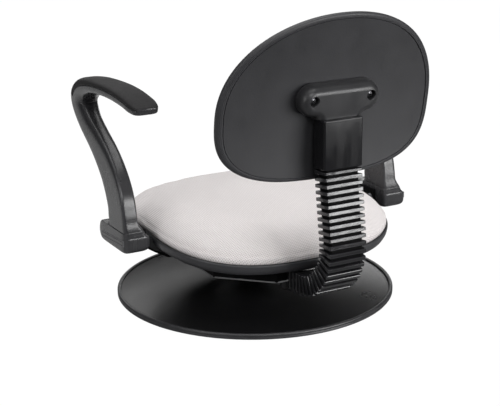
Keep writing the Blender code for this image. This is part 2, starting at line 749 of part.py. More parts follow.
def build_arm_brackets(seat_shell, seat_board, arms, shell_bottom):
    """A strap from under the seat to each arm's foot, with its screws and bolts."""
    level = shell_bottom - GAP - STRAP_THICKNESS / 2
    foot_faces = {"left": ARM_FOOT_INSIDE, "right": ARM_SPACING - ARM_FOOT_OUTSIDE}
    for side, sign in (("left", 1), ("right", -1)):
        foot_face = foot_faces[side]
        plate_x = foot_face - GAP - STRAP_THICKNESS / 2
        centre_line = [
            (PAN_HALF_WIDTH + 0.002, level),
            (0.150, level),
            (0.175, level + 0.0045),
            (plate_x - 0.0165, 0.1076),
            (plate_x - 0.0060, 0.1143),
            (plate_x, 0.1243),
            (plate_x, 0.1470),
        ]
        side_view = strap_side(centre_line, STRAP_THICKNESS)
        rings = []
        for y in (STRAP_CENTRE_Y - STRAP_HALF_WIDTH, STRAP_CENTRE_Y + STRAP_HALF_WIDTH):
            rings.append([Vector((sign * p.x, y, p.y)) for p in side_view])
        strap = add_object(f"arm_bracket_{side}", loft("strap", rings), painted(f"Bracket {side} black"))
        web = [
            (0.176, level + 0.0037),
            (0.186, 0.1092),
            (0.1965, 0.1145),
            (0.2006, 0.1195),
            (0.2026, 0.1250),
            (0.2032, 0.1300),
            (plate_x, 0.1330),
            (plate_x + 0.0008, 0.1278),
            (plate_x - 0.0058, 0.1140),
            (plate_x - 0.0163, 0.1073),
        ]
        rear = STRAP_CENTRE_Y + STRAP_HALF_WIDTH
        sides = (rear - STRAP_THICKNESS, rear - 0.0001)
        boolean(strap, loft("web", [[Vector((sign * x, y, z)) for x, z in web] for y in sides]), "UNION")
        for number, y in enumerate(ARM_BOLT_Y, start=1):
            add_arm_bolt(strap, arms[side], side, sign, number, y, foot_face)
            add_strap_screw(strap, seat_shell, seat_board, side, sign, number, y, level)


def add_arm_bolt(strap, arm, side, sign, number, y, foot_face):
    plate_face = foot_face - GAP - STRAP_THICKNESS
    drill(strap, 0.0033, (sign * (plate_face - 0.002), y, ARM_BOLT_Z), (sign, 0, 0), 0.008)
    drill(arm, 0.0033, (sign * (foot_face - 0.004), y, ARM_BOLT_Z), (sign, 0, 0), 0.026)
    bolt = add_object(
        f"arm_bolt_{side}_{number}",
        screw_mesh("arm bolt", 0.0058, 0.0035, 0.003, 0.024),
        steel(f"Arm bolt {side} {number} steel"),
    )
    place_along(bolt, (sign * (plate_face - GAP), y, ARM_BOLT_Z), (-sign, 0, 0))


def add_strap_screw(strap, seat_shell, seat_board, side, sign, number, y, level):
    x = sign * STRAP_SCREW_X
    drill(strap, 0.0030, (x, y, level - 0.004), (0, 0, 1), 0.008)
    drill(seat_shell, 0.0030, (x, y, level - 0.001), (0, 0, 1), 0.009)
    drill(seat_board, 0.0026, (x, y, level + 0.001), (0, 0, 1), 0.0115)
    screw = add_object(
        f"bracket_screw_{side}_{number}",
        screw_mesh("bracket screw", 0.0052, 0.0025, 0.0023, 0.012),
        steel(f"Bracket screw {side} {number} steel"),
    )
    place_along(screw, (x, y, level - STRAP_THICKNESS / 2 - GAP), (0, 0, -1))


# ---------------------------------------------------------------- back bar, boot and sleeve


def bar_path(distance_step, first_y, last_z):
    """(y, z, tilt) along the bar's middle: level run, bend, leaning part and upright. Tilt 0 is +Y."""
    bend_y, bend_z = BEND_CENTRE
    stations = []
    run = bend_y - first_y
    for i in range(max(round(run / distance_step), 1)):
        stations.append((first_y + i * distance_step, BAR_RUN_Z, 0.0))
    sweep = math.pi / 2 + UPRIGHT_LEAN
    turns = round(BEND_RADIUS * sweep / distance_step)
    for i in range(turns + 1):
        tilt = sweep * i / turns
        stations.append((bend_y + BEND_RADIUS * math.sin(tilt), bend_z - BEND_RADIUS * math.cos(tilt), tilt))
    start_y, start_z, tilt = stations[-1]
    knee_z = start_z + (start_y - SLEEVE_CENTRE_Y) / math.tan(UPRIGHT_LEAN)
    knee_z = min(knee_z, last_z)
    rises = max(round((knee_z - start_z) / distance_step), 1)
    for i in range(1, rises + 1):
        z = start_z + (knee_z - start_z) * i / rises
        y = start_y - (z - start_z) * math.tan(UPRIGHT_LEAN)
        stations.append((y, z, tilt if i < rises else math.pi / 2 + UPRIGHT_LEAN / 2))
    if last_z > knee_z + distance_step / 2:
        stations.append((SLEEVE_CENTRE_Y, last_z, math.pi / 2))
    return stations


def station_ring(station, section):
    """Places (x, n) section points at a station, with n square to the path."""
    y, z, tilt = station
    return [Vector((x, y - n * math.sin(tilt), z + n * math.cos(tilt))) for x, n in section]


def build_bar():
    corner = 0.0006
    section = rounded_section(BAR_HALF_WIDTH, BAR_HALF_THICKNESS, corner, 1)
    rings = [station_ring(station, section) for station in bar_path(0.014, BAR_FRONT, BAR_TOP)]
    add_object("back_bar", loft("bar", rings), steel("Bar steel"))


def between(stations, share):
    """The station at a fractional index."""
    index = min(int(share), len(stations) - 2)
    part = share - index
    first, second = stations[index], stations[index + 1]
    return tuple(a + (b - a) * part for a, b in zip(first, second))


def build_bellows():
    """Ribbed boot round the bar: a tube whose outside steps between valleys and crests."""
    stations = bar_path(BOOT_PITCH, BOOT_FRONT, SLEEVE_BOTTOM - GAP)
    end_y, end_z, _ = stations[-1]
    stations[-1] = (end_y, end_z, math.pi / 2)
    crest = rounded_section(BOOT_CREST[0], BOOT_CREST[1], 0.0014, 1)
    valley = rounded_section(BOOT_VALLEY[0], BOOT_VALLEY[1], 0.0014, 1)
    bore = rounded_section(BOOT_BORE[0], BOOT_BORE[1], 0.0015, 1)
    steps = ((0.04, valley), (0.22, crest), (0.70, crest), (0.88, valley))
    outside = []
    for index in range(len(stations) - 1):
        for share, section in steps:
            outside.append(station_ring(between(stations, index + share), section))
    inside = [station_ring(station, bore) for station in reversed(stations)]
    outside.insert(0, station_ring(stations[0], valley))
    outside.append(station_ring(stations[-1], valley))
    mesh = loft("bellows", outside + inside, closed=True)
    add_object("bellows", mesh, material("Boot rubber", RUBBER, 0.4))


def build_sleeve():
    section = rounded_section(SLEEVE_HALF_WIDTH, SLEEVE_HALF_DEPTH, 0.0040, 3)
    rings = []
    for z, grow in ((SLEEVE_BOTTOM, -0.0006), (SLEEVE_BOTTOM + 0.001, 0.0), (SLEEVE_TOP, 0.0)):
        scale_x = 1 + grow / SLEEVE_HALF_WIDTH
        scale_y = 1 + grow / SLEEVE_HALF_DEPTH
        rings.append([Vector((x * scale_x, SLEEVE_CENTRE_Y + n * scale_y, z)) for x, n in section])
    sleeve = add_object("back_sleeve", loft("sleeve", rings), material("Sleeve black", BLACK, 0.35))
    bar_front = SLEEVE_CENTRE_Y - BAR_HALF_THICKNESS
    low = (-BAR_HALF_WIDTH - GAP, bar_front - GAP, SLEEVE_BOTTOM - 0.01)
    high = (BAR_HALF_WIDTH + GAP, bar_front + 0.0094, SLEEVE_TOP + 0.01)
    boolean(sleeve, box_mesh("sleeve tunnel", low, high))


def build_latch_spring():
    """A bowed leaf between the bar and the sleeve's rear wall. It holds the back's height by friction."""
    bar_rear = SLEEVE_CENTRE_Y + BAR_HALF_THICKNESS
    half_width = 0.008
    thickness = 0.0006
    low_z, high_z = SLEEVE_BOTTOM + 0.006, SLEEVE_BOTTOM + 0.062
    bow = 0.0018
    steps = 8
    rings = []
    for i in range(steps + 1):
        share = i / steps
        z = low_z + (high_z - low_z) * share
        y = bar_rear + GAP + bow * (2 * share - 1) ** 2
        rear = y + thickness
        corners = ((-half_width, y), (half_width, y), (half_width, rear), (-half_width, rear))
        rings.append([Vector((x, depth, z)) for x, depth in corners])
    add_object("sleeve_latch_spring", loft("latch spring", rings), steel("Latch spring steel"))


# ---------------------------------------------------------------- backrest

BACK_UP = Vector((0.0, math.sin(BACK_RECLINE), math.cos(BACK_RECLINE)))
BACK_FORWARD = Vector((0.0, -math.cos(BACK_RECLINE), math.sin(BACK_RECLINE)))


def back_point(u, v, forward):
    """A point of the backrest: u across, v up along it, and forward from its curved rear surface."""
    bow = BACK_SIDE_CURVE * u * u + BACK_HEIGHT_CURVE * v * v
    return BACK_CENTRE + Vector((u, 0, 0)) + BACK_UP * v + BACK_FORWARD * (forward + bow)


def flat_back_point(u, v, forward):
    """The same without the surface's bow, for the flat steel and the cover."""
    return BACK_CENTRE + Vector((u, 0, 0)) + BACK_UP * v + BACK_FORWARD * forward


def place_on_back(turn, entry):
    share, forward = entry
    u, v = egg(turn, BACK_HALF_WIDTH, BACK_TO_TOP, BACK_TO_BOTTOM, BACK_TOP_POWER, BACK_BOTTOM_POWER)
    return back_point(u * share, v * share, forward)


def build_back_panels():
    rim_depth = 0.0068
    wall = SHELL_THICKNESS
    inner_shares = (0.30, 0.60, 0.80)
    shell = (
        [(0.0, 0.0)]
        + [(share, 0.0) for share in inner_shares]
        + [(0.945, 0.0), (0.955, -0.0009), (0.985, 0.0002)]
        + [(1.0, 0.0030), (1.0, rim_depth), (0.988, rim_depth)]
        + [(0.984, 0.0040), (0.956, wall)]
        + [(share, wall) for share in reversed(inner_shares)]
        + [(0.0, wall)]
    )
    back_shell = add_object("back_shell", egg_solid("shell", place_on_back, shell), plastic("Back charcoal"))
    under = wall + GAP
    over = under + BOARD_THICKNESS
    board = (
        [(0.0, under)]
        + [(share, under) for share in inner_shares]
        + [(0.950, under), (0.950, over)]
        + [(share, over) for share in reversed(inner_shares)]
        + [(0.0, over)]
    )
    look = material("Back board plywood", PLYWOOD, 0.7)
    back_board = add_object("back_board", egg_solid("board", place_on_back, board), look)
    clear = over + GAP
    cushion = (
        [(0.0, clear)]
        + [(share, clear) for share in inner_shares]
        + [(0.953, clear), (0.954, 0.0054), (0.976, 0.0054), (0.982, 0.0085)]
        + [(0.972, 0.0140), (0.940, 0.0215), (0.895, 0.0290)]
        + [(0.82, 0.0365), (0.66, 0.0428), (0.38, 0.0462), (0.0, BACK_CUSHION_CROWN)]
    )
    cloth = material("Back cushion cloth", CLOTH, 0.9)
    add_object("back_cushion", egg_solid("cushion", place_on_back, cushion), cloth)
    return back_shell, back_board


COVER_NECK = 0.0347
COVER_BOTTOM_V = -0.0180
COVER_SHOULDER_V = 0.0010
COVER_TOP_V = 0.0475


def cover_outline(shrink, bottom_v=COVER_BOTTOM_V):
    """(u, v) outline of the cover: a round-ended bar over a neck as wide as the sleeve."""
    half_height = (COVER_TOP_V - COVER_SHOULDER_V) / 2
    middle_v = COVER_SHOULDER_V + half_height
    end_radius = half_height - shrink
    end_centre = COVER_HALF_WIDTH - half_height
    right = [(COVER_NECK - shrink, bottom_v)]
    steps = 8
    for i in range(steps + 1):
        turn = -math.pi / 2 + math.pi * i / steps
        right.append((end_centre + end_radius * math.cos(turn), middle_v + end_radius * math.sin(turn)))
    return right + [(-u, v) for u, v in reversed(right)]


def build_cover():
    """The moulded cover over the bracket, with a hollow for the plate and two bosses for the screws."""
    rear = -COVER_DEPTH
    wall = 0.0028
    inner_bottom = COVER_BOTTOM_V + wall
    sections = [
        (0.0090, COVER_BOTTOM_V, rear),
        (0.0025, COVER_BOTTOM_V, -0.0200),
        (0.0, COVER_BOTTOM_V, -0.0120),
        (0.0, COVER_BOTTOM_V, -0.0024),
        (wall, inner_bottom, -0.0024),
        (wall, inner_bottom, -0.0110),
        (0.0110, inner_bottom, rear + wall),
    ]
    rings = []
    for shrink, bottom_v, forward in sections:
        rings.append([flat_back_point(u, v, forward) for u, v in cover_outline(shrink, bottom_v)])
    cover = add_object("back_bracket_cover", loft("cover", rings), plastic("Cover black"))
    floor = SLEEVE_TOP + GAP
    boolean(cover, box_mesh("under the cover", (-0.1, 0.15, floor - 0.05), (0.1, 0.35, floor)))
    for sign in (1, -1):
        axis_point = flat_back_point(sign * BACK_SCREW_X, BACK_SCREW_V, PLATE_REAR - GAP)
        boss = lathe("cover boss", [(0.0085, 0.0), (0.0085, COVER_DEPTH + PLATE_REAR - 0.0015)], 20)
        turn = (-BACK_FORWARD).to_track_quat("Z", "Y").to_matrix().to_4x4()
        boolean(cover, boss, "UNION", Matrix.Translation(axis_point) @ turn)
    for sign in (1, -1):
        floor = flat_back_point(sign * BACK_SCREW_X, BACK_SCREW_V, SCREW_SEAT)
        drill(cover, 0.0062, floor, -BACK_FORWARD, 0.020, 20)
        drill(cover, 0.0026, floor + BACK_FORWARD * 0.020, -BACK_FORWARD, 0.025)
    return cover


PLATE_THICKNESS = 0.0025
PLATE_FRONT = -0.0018
PLATE_REAR = PLATE_FRONT - PLATE_THICKNESS
SCREW_SEAT = -0.0165


def build_mount_plate():
    """Steel bracket: a wide plate on the back, with a neck and a tongue that reaches over the sleeve."""
    low_v = -0.0035
    right = [(0.028, low_v), (0.028, 0.0075), (0.050, 0.0075)]
    right += [(0.058, 0.0155), (0.058, 0.0355), (0.050, 0.0425)]
    outline = right + [(-u, v) for u, v in reversed(right)]
    rings = [[flat_back_point(u, v, forward) for u, v in outline] for forward in (PLATE_FRONT, PLATE_REAR)]
    plate = add_object("back_mount_plate", loft("mount plate", rings), steel("Mount plate steel"))
    tongue_low = SLEEVE_TOP + GAP
    front_y = flat_back_point(0, low_v, PLATE_FRONT).y + 0.0010
    side = [
        (front_y, tongue_low),
        (SLEEVE_CENTRE_Y + 0.0015, tongue_low),
        (SLEEVE_CENTRE_Y + 0.0015, tongue_low + PLATE_THICKNESS),
        (front_y + 0.0015, tongue_low + 0.0080),
    ]
    tongue = loft("tongue", [[Vector((x, y, z)) for y, z in side] for x in (-0.022, 0.022)])
    boolean(plate, tongue, "UNION")
    return plate


def build_back_screws(plate, back_shell, back_board):
    length = 0.0165 - 0.0026 + 0.0085
    for number, sign in enumerate((1, -1), start=1):
        seat = flat_back_point(sign * BACK_SCREW_X, BACK_SCREW_V, SCREW_SEAT - GAP)
        for target, radius in ((plate, 0.0028), (back_shell, 0.0028)):
            drill(target, radius, seat, BACK_FORWARD, 0.0225)
        drill(back_board, 0.0026, seat, BACK_FORWARD, length + 0.002)
        screw = add_object(
            f"back_screw_{number}",
            screw_mesh("back screw", 0.0048, 0.0030, 0.0022, length),
            steel(f"Back screw {number} steel"),
        )
        place_along(screw, seat, -BACK_FORWARD)


# ---------------------------------------------------------------- the chair


def build_chair():
    clear_scene()
    build_floor_plate()
    build_dome()
    build_edge_trim()
    build_column()
    race_top = build_lower_race()
    upper_low = build_ball_cage(race_top)
    upper_top = build_upper_race(upper_low)
    pan_under, pan_top = build_pan(upper_top + GAP)
    build_guide(pan_under)
    build_knob()
    shell_bottom = pan_top + GAP
    seat_shell, seat_board = build_seat(shell_bottom)
    build_seat_screws(pan_under)
    arms = build_arms()
    build_arm_brackets(seat_shell, seat_board, arms, shell_bottom)
    build_bar()
    build_bellows()
    build_sleeve()
    build_latch_spring()
    back_shell, back_board = build_back_panels()
    build_cover()
    plate = build_mount_plate()
    build_back_screws(plate, back_shell, back_board)


build_chair()
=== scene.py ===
"""Looks of a swivel floor chair with a fabric seat and back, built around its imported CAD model.

+Z is up, the sitter faces -Y and the floor is at Z = 0. Everything is in metres.
"""

import json
import math

import bmesh
import bpy
import numpy as np
from mathutils import Matrix, Vector


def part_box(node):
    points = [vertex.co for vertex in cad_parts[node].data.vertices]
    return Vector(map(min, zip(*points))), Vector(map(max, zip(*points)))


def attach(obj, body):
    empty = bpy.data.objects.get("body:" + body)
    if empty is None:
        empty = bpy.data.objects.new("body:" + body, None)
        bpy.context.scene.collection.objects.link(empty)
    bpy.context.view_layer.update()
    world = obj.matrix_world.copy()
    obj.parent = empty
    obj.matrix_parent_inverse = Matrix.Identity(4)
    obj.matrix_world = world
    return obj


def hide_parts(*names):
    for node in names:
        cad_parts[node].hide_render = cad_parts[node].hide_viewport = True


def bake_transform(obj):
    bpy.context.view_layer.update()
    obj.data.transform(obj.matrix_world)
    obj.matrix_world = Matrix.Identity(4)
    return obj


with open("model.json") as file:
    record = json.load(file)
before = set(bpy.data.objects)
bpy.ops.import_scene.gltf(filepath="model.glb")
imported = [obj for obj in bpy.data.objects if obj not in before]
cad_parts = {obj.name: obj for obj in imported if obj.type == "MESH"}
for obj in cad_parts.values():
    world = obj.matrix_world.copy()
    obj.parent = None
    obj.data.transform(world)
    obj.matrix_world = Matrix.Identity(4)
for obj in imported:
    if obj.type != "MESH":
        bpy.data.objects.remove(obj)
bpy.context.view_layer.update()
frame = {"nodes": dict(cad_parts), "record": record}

# ---- sizes

SEAT_OUTLINE = (0.2014, 0.1806, 0.216, 2.69, 2.8)
SEAT_CENTRE_Y = 0.020
RIM_HEIGHT = 0.1334
RIM_SLOPE = -0.0398
RIM_CURVATURE = -0.397
SHELL_WALL = 0.0025

BACK_OUTLINE = (0.1834, 0.1508, 0.1035, 2.08, 3.13)
BACK_CENTRE = Vector((0.0, 0.2386, 0.3498))
BACK_RECLINE = math.radians(9.5)
BACK_UP = Vector((0.0, math.sin(BACK_RECLINE), math.cos(BACK_RECLINE)))
BACK_FORWARD = Vector((0.0, -math.cos(BACK_RECLINE), math.sin(BACK_RECLINE)))
BACK_SIDE_CURVE = 0.365
BACK_HEIGHT_CURVE = -0.74

BEND_CENTRE = (0.1928, 0.150)
BEND_RADIUS = 0.078
UPRIGHT_LEAN = math.radians(7.7)
BAR_RUN_Z = 0.072
BOOT_FRONT = 0.1625
BOOT_PITCH = 0.0101
SLEEVE_BOTTOM = 0.2698
SLEEVE_TOP = 0.3433
SLEEVE_CENTRE_Y = 0.2553

COVER_HALF_WIDTH = 0.0665
COVER_NECK = 0.0347
COVER_BOTTOM_V = -0.0180
COVER_SHOULDER_V = 0.0010
COVER_TOP_V = 0.0475
COVER_REAR = -0.0265
BACK_SCREW_X = 0.048
BACK_SCREW_V = 0.0275
SCREW_SEAT = -0.0165

ARM_SPACING = 0.4813
ARM_FOOT_INSIDE = 0.2155
ARM_FOOT_OUTSIDE = 0.2600
GAP = 0.0003
FULL_TURN = 2 * math.pi

# ---- materials


WHITE = (1.0, 1.0, 1.0, 1.0)


class Nodes:
    """A node tree, and short ways to fill it."""

    def __init__(self, tree):
        self.tree = tree

    def feed(self, socket, value):
        if isinstance(value, bpy.types.NodeSocket):
            self.tree.links.new(value, socket)
        else:
            socket.default_value = value

    def add(self, kind, inputs=None, **settings):
        node = self.tree.nodes.new(kind)
        for key, value in settings.items():
            setattr(node, key, value)
        for key, value in (inputs or {}).items():
            self.feed(node.inputs[key], value)
        return node

    def remap(self, value, low, high, to_low=0.0, to_high=1.0):
        inputs = {0: value, 1: low, 2: high, 3: to_low, 4: to_high}
        return self.add("ShaderNodeMapRange", inputs).outputs[0]


class Look(Nodes):
    """One material and its node tree."""

    def __init__(self, name):
        self.material = bpy.data.materials.new(name)
        self.material.use_nodes = True
        super().__init__(self.material.node_tree)
        self.shader = self.tree.nodes["Principled BSDF"]
        self.place = self.add("ShaderNodeTexCoord").outputs["Object"]

    def set(self, **values):
        for key, value in values.items():
            self.feed(self.shader.inputs[key.replace("_", " ")], value)

    def maths(self, operation, first, second=0.0):
        return self.add("ShaderNodeMath", {0: first, 1: second}, operation=operation).outputs[0]

    def vectors(self, operation, first, second=(0.0, 0.0, 0.0)):
        return self.add("ShaderNodeVectorMath", {0: first, 1: second}, operation=operation)

    def dot(self, first, second):
        return self.vectors("DOT_PRODUCT", first, second).outputs["Value"]

    def scaled(self, size):
        return self.add("ShaderNodeMapping", {"Vector": self.place, "Scale": size}).outputs[0]

    def noise(self, scale, detail, place=None):
        inputs = {"Vector": place or self.place, "Scale": scale, "Detail": detail}
        return self.add("ShaderNodeTexNoise", inputs).outputs["Fac"]

    def cells(self, scale):
        inputs = {"Vector": self.place, "Scale": scale}
        return self.add("ShaderNodeTexVoronoi", inputs, feature="SMOOTH_F1").outputs["Distance"]

    def mix(self, factor, first, second):
        node = self.add("ShaderNodeMix", data_type="RGBA")
        for index, value in ((0, factor), (6, first), (7, second)):
            self.feed(node.inputs[index], value)
        return node.outputs[2]

    def bump(self, height, distance):
        inputs = {"Height": height, "Distance": distance, "Strength": 1.0}
        self.set(Normal=self.add("ShaderNodeBump", inputs).outputs[0])

    def edges(self, low, high):
        point = self.add("ShaderNodeNewGeometry").outputs["Pointiness"]
        return self.remap(point, low, high)


def shade(colour, factor):
    return tuple(min(c * factor, 1.0) for c in colour) + (1.0,)


def plastic(name, colour, roughness, grain=900.0, relief=0.00010, edge_wear_and_highlight=0.25, specular=0.5):
    """Moulded plastic: fine pebbled skin, cloudy gloss, and pointy edges painted lighter, partly as wear and
    partly as a painted highlight.
    """
    look = Look(name)
    clouds = look.noise(22.0, 4.0)
    fine = look.noise(grain, 2.0)
    pebbles = look.cells(grain * 0.9)
    body = look.mix(look.remap(clouds, 0.3, 0.7), shade(colour, 0.90), shade(colour, 1.10))
    speck = look.mix(look.remap(fine, 0.35, 0.75, 0.0, 0.35), body, shade(colour, 1.5))
    # Pointy edges painted up to 3.4 times lighter: partly wear, partly a painted highlight along the edges.
    worn_and_highlit_edges = look.maths("MULTIPLY", look.edges(0.515, 0.60), edge_wear_and_highlight)
    look.set(Base_Color=look.mix(worn_and_highlit_edges, speck, shade(colour, 3.4)))
    streaks = look.noise(1.0, 3.0, look.scaled((60.0, 60.0, 12.0)))
    rough = look.remap(look.maths("ADD", clouds, streaks), 0.7, 1.3, roughness - 0.05, roughness + 0.06)
    look.set(Roughness=rough, Specular_IOR_Level=specular)
    look.bump(look.maths("ADD", pebbles, look.maths("MULTIPLY", fine, 0.6)), relief)
    return look.material


def rubber(name, colour, roughness):
    """Glossy moulded rubber with faint flow marks, dust in the hollows and a painted highlight along its
    edges.
    """
    look = Look(name)
    flow = look.noise(1.0, 4.0, look.scaled((35.0, 90.0, 90.0)))
    dust = look.noise(420.0, 3.0)
    hollow = look.maths("SUBTRACT", 1.0, look.edges(0.42, 0.50))
    body = look.mix(look.remap(flow, 0.3, 0.7), shade(colour, 0.8), shade(colour, 1.3))
    dusty = look.maths("MULTIPLY", hollow, look.remap(dust, 0.4, 0.8, 0.0, 0.10))
    # Pointy edges painted up to 7 times lighter: a painted highlight along the edges.
    worn_and_highlit_edges = look.mix(look.edges(0.54, 0.64), body, shade(colour, 7.0))
    look.set(Base_Color=look.mix(dusty, worn_and_highlit_edges, shade(colour, 3.0)))
    look.set(Roughness=look.remap(flow, 0.3, 0.7, roughness - 0.05, roughness + 0.07))
    look.set(Specular_IOR_Level=0.62)
    look.bump(look.maths("ADD", flow, look.maths("MULTIPLY", dust, 0.25)), 0.00022)
    return look.material


def powder_coat(name, colour, roughness):
    """Painted sheet steel: orange peel, fine specks and a little dust."""
    look = Look(name)
    peel = look.noise(330.0, 2.0)
    specks = look.cells(1500.0)
    dust = look.noise(9.0, 5.0)
    body = look.mix(look.remap(dust, 0.35, 0.7), shade(colour, 0.88), shade(colour, 1.18))
    look.set(Base_Color=look.mix(look.remap(specks, 0.05, 0.30, 0.25, 0.0), body, shade(colour, 2.5)))
    look.set(Roughness=look.remap(dust, 0.3, 0.7, roughness - 0.04, roughness + 0.06))
    look.bump(look.maths("ADD", peel, look.maths("MULTIPLY", specks, 0.5)), 0.00012)
    return look.material


def metal(name, colour, roughness, brush=(40.0, 40.0, 900.0)):
    """Plated steel with brushing marks and dull patches."""
    look = Look(name)
    brushed = look.noise(1.0, 3.0, look.scaled(brush))
    patches = look.noise(60.0, 4.0)
    dull = look.remap(patches, 0.3, 0.7)
    look.set(Base_Color=look.mix(dull, shade(colour, 0.75), shade(colour, 1.08)), Metallic=1.0)
    look.set(Roughness=look.remap(brushed, 0.3, 0.7, roughness - 0.08, roughness + 0.12))
    look.bump(brushed, 0.00006)
    return look.material


def plywood(name):
    """Pale plywood with long grain and thin dark plies at its edge."""
    look = Look(name)
    grain = look.noise(1.0, 6.0, look.scaled((260.0, 12.0, 260.0)))
    inputs = {"Vector": look.scaled((0.0, 0.0, 1.0)), "Scale": 190.0, "Distortion": 0.4}
    plies = look.add("ShaderNodeTexWave", inputs, bands_direction="Z").outputs["Fac"]
    pale, dark = (0.55, 0.39, 0.22), (0.34, 0.20, 0.10)
    wood = look.mix(look.remap(grain, 0.35, 0.65), shade(dark, 1.3), shade(pale, 1.0))
    look.set(Base_Color=look.mix(look.remap(plies, 0.7, 1.0, 0.0, 0.45), wood, shade(dark, 1.0)))
    look.set(Roughness=look.remap(grain, 0.3, 0.7, 0.62, 0.8))
    look.bump(grain, 0.0002)
    return look.material


WEAVE_PITCH = 0.0052
DIAGONAL = 0.71


def woven(name, colour, centre, across, along, out, crown):
    """Open woven cloth on a cushion. The weave follows the cloth from the crown over the sides.

    across and along are the cushion's flat directions, out its outward one, crown its top's height.
    """
    look = Look(name)
    from_centre = look.vectors("SUBTRACT", look.place, centre).outputs[0]
    a = look.dot(from_centre, across)
    b = look.dot(from_centre, along)
    drop = look.maths("SUBTRACT", crown, look.dot(from_centre, out))
    flat = look.add("ShaderNodeCombineXYZ", {0: a, 1: b}).outputs[0]
    reach = look.maths("ADD", look.vectors("LENGTH", flat).outputs["Value"], drop)
    outward = look.vectors("NORMALIZE", flat).outputs[0]
    cloth = look.add("ShaderNodeVectorMath", {0: outward, "Scale": reach}, operation="SCALE").outputs[0]
    pitch = FULL_TURN / WEAVE_PITCH
    turned = pitch * DIAGONAL
    warp = look.dot(cloth, (turned, turned, 0.0))
    weft = look.dot(cloth, (-turned, turned, 0.0))
    net = look.maths("MULTIPLY", look.maths("SINE", warp), look.maths("SINE", weft))
    threads = look.maths("ADD", look.maths("MULTIPLY", net, 0.5), 0.5)
    hole = look.remap(threads, 0.10, 0.55, 1.0, 0.0)
    fuzz = look.noise(2600.0, 2.0)
    soiling = look.noise(11.0, 4.0)
    tone = look.mix(look.remap(soiling, 0.3, 0.7), shade(colour, 0.965), shade(colour, 1.02))
    yarn = look.mix(look.remap(fuzz, 0.3, 0.7, 0.0, 0.3), tone, shade(colour, 0.86))
    look.set(Base_Color=look.mix(look.maths("MULTIPLY", hole, 0.62), yarn, shade(colour, 0.42)))
    look.set(Roughness=look.remap(fuzz, 0.3, 0.7, 0.85, 0.97))
    look.set(Sheen_Weight=0.25, Sheen_Roughness=0.5, Specular_IOR_Level=0.25)
    look.bump(look.maths("ADD", threads, look.maths("MULTIPLY", fuzz, 0.2)), 0.0007)
    return look.material


# ---- mesh tools


def tidy_mesh(mesh, angle):
    mesh.shade_smooth()
    mesh.set_sharp_from_angle(angle=math.radians(angle))


def mesh_from(name, points, faces, angle):
    mesh = bpy.data.meshes.new(name)
    mesh.from_pydata([tuple(p) for p in points], [], faces)
    bm = bmesh.new()
    bm.from_mesh(mesh)
    bmesh.ops.remove_doubles(bm, verts=bm.verts, dist=1e-6)
    bmesh.ops.recalc_face_normals(bm, faces=bm.faces)
    bm.to_mesh(mesh)
    bm.free()
    tidy_mesh(mesh, angle)
    return mesh


def loft_faces(ring_count, size, closed):
    faces = []
    last = ring_count if closed else ring_count - 1
    for i in range(last):
        here, there = i * size, (i + 1) % ring_count * size
        for j in range(size):
            k = (j + 1) % size
            faces.append((here + j, here + k, there + k, there + j))
    if not closed:
        faces.append(tuple(range(size))[::-1])
        faces.append(tuple(range((ring_count - 1) * size, ring_count * size)))
    return faces


def loft(name, rings, closed=False, angle=35):
    """Skin over rings of equal size, with flat ends unless it closes on itself."""
    points = [p for ring in rings for p in ring]
    return mesh_from(name, points, loft_faces(len(rings), len(rings[0]), closed), angle)


def turns_round(count):
    return [FULL_TURN * i / count for i in range(count)]


def lathe(name, profile, segments, closed=False):
    rings = []
    for radius, z in profile:
        rings.append([Vector((radius * math.cos(t), radius * math.sin(t), z)) for t in turns_round(segments)])
    return loft(name, rings, closed)


def disc_solid(name, place, profile, segments, angle=35):
    """Closed body from a profile that starts and ends on its own middle."""
    turns = turns_round(segments)
    points = [place(0.0, profile[0])]
    for entry in profile[1:-1]:
        points += [place(turn, entry) for turn in turns]
    points.append(place(0.0, profile[-1]))
    count = len(profile) - 2
    faces = []
    for j in range(segments):
        k = (j + 1) % segments
        faces.append((0, 1 + k, 1 + j))
        end = 1 + (count - 1) * segments
        faces.append((len(points) - 1, end + j, end + k))
        for i in range(count - 1):
            low, high = 1 + i * segments, 1 + (i + 1) * segments
            faces.append((low + j, low + k, high + k, high + j))
    return mesh_from(name, points, faces, angle)


def spline(points, steps):
    """Smooth curve through tuples of numbers, timed by the distance between them."""
    values = np.array(points, float)
    gaps = np.maximum(np.linalg.norm(np.diff(values, axis=0), axis=1), 1e-9)
    slopes = np.diff(values, axis=0) / gaps[:, None]
    middle = (slopes[:-1] * gaps[1:, None] + slopes[1:] * gaps[:-1, None]) / (gaps[1:] + gaps[:-1])[:, None]
    tangents = np.vstack([slopes[:1], middle, slopes[-1:]])
    result = []
    for i, gap in enumerate(gaps):
        first, second = values[i], values[i + 1]
        for step in range(steps):
            t = step / steps
            result.append(
                first * (2 * t**3 - 3 * t**2 + 1)
                + tangents[i] * gap * (t**3 - 2 * t**2 + t)
                + second * (3 * t**2 - 2 * t**3)
                + tangents[i + 1] * gap * (t**3 - t**2)
            )
    result.append(values[-1])
    return result


def rounded_section(half_width, half_depth, corner, steps=4):
    """Corner points of a rounded rectangle, anticlockwise."""
    points = []
    centres = ((1, 1, 0), (-1, 1, 1), (-1, -1, 2), (1, -1, 3))
    for sx, sy, quarter in centres:
        for i in range(steps + 1):
            turn = (quarter + i / steps) * math.pi / 2
            x = sx * (half_width - corner) + corner * math.cos(turn)
            points.append((x, sy * (half_depth - corner) + corner * math.sin(turn)))
    return points


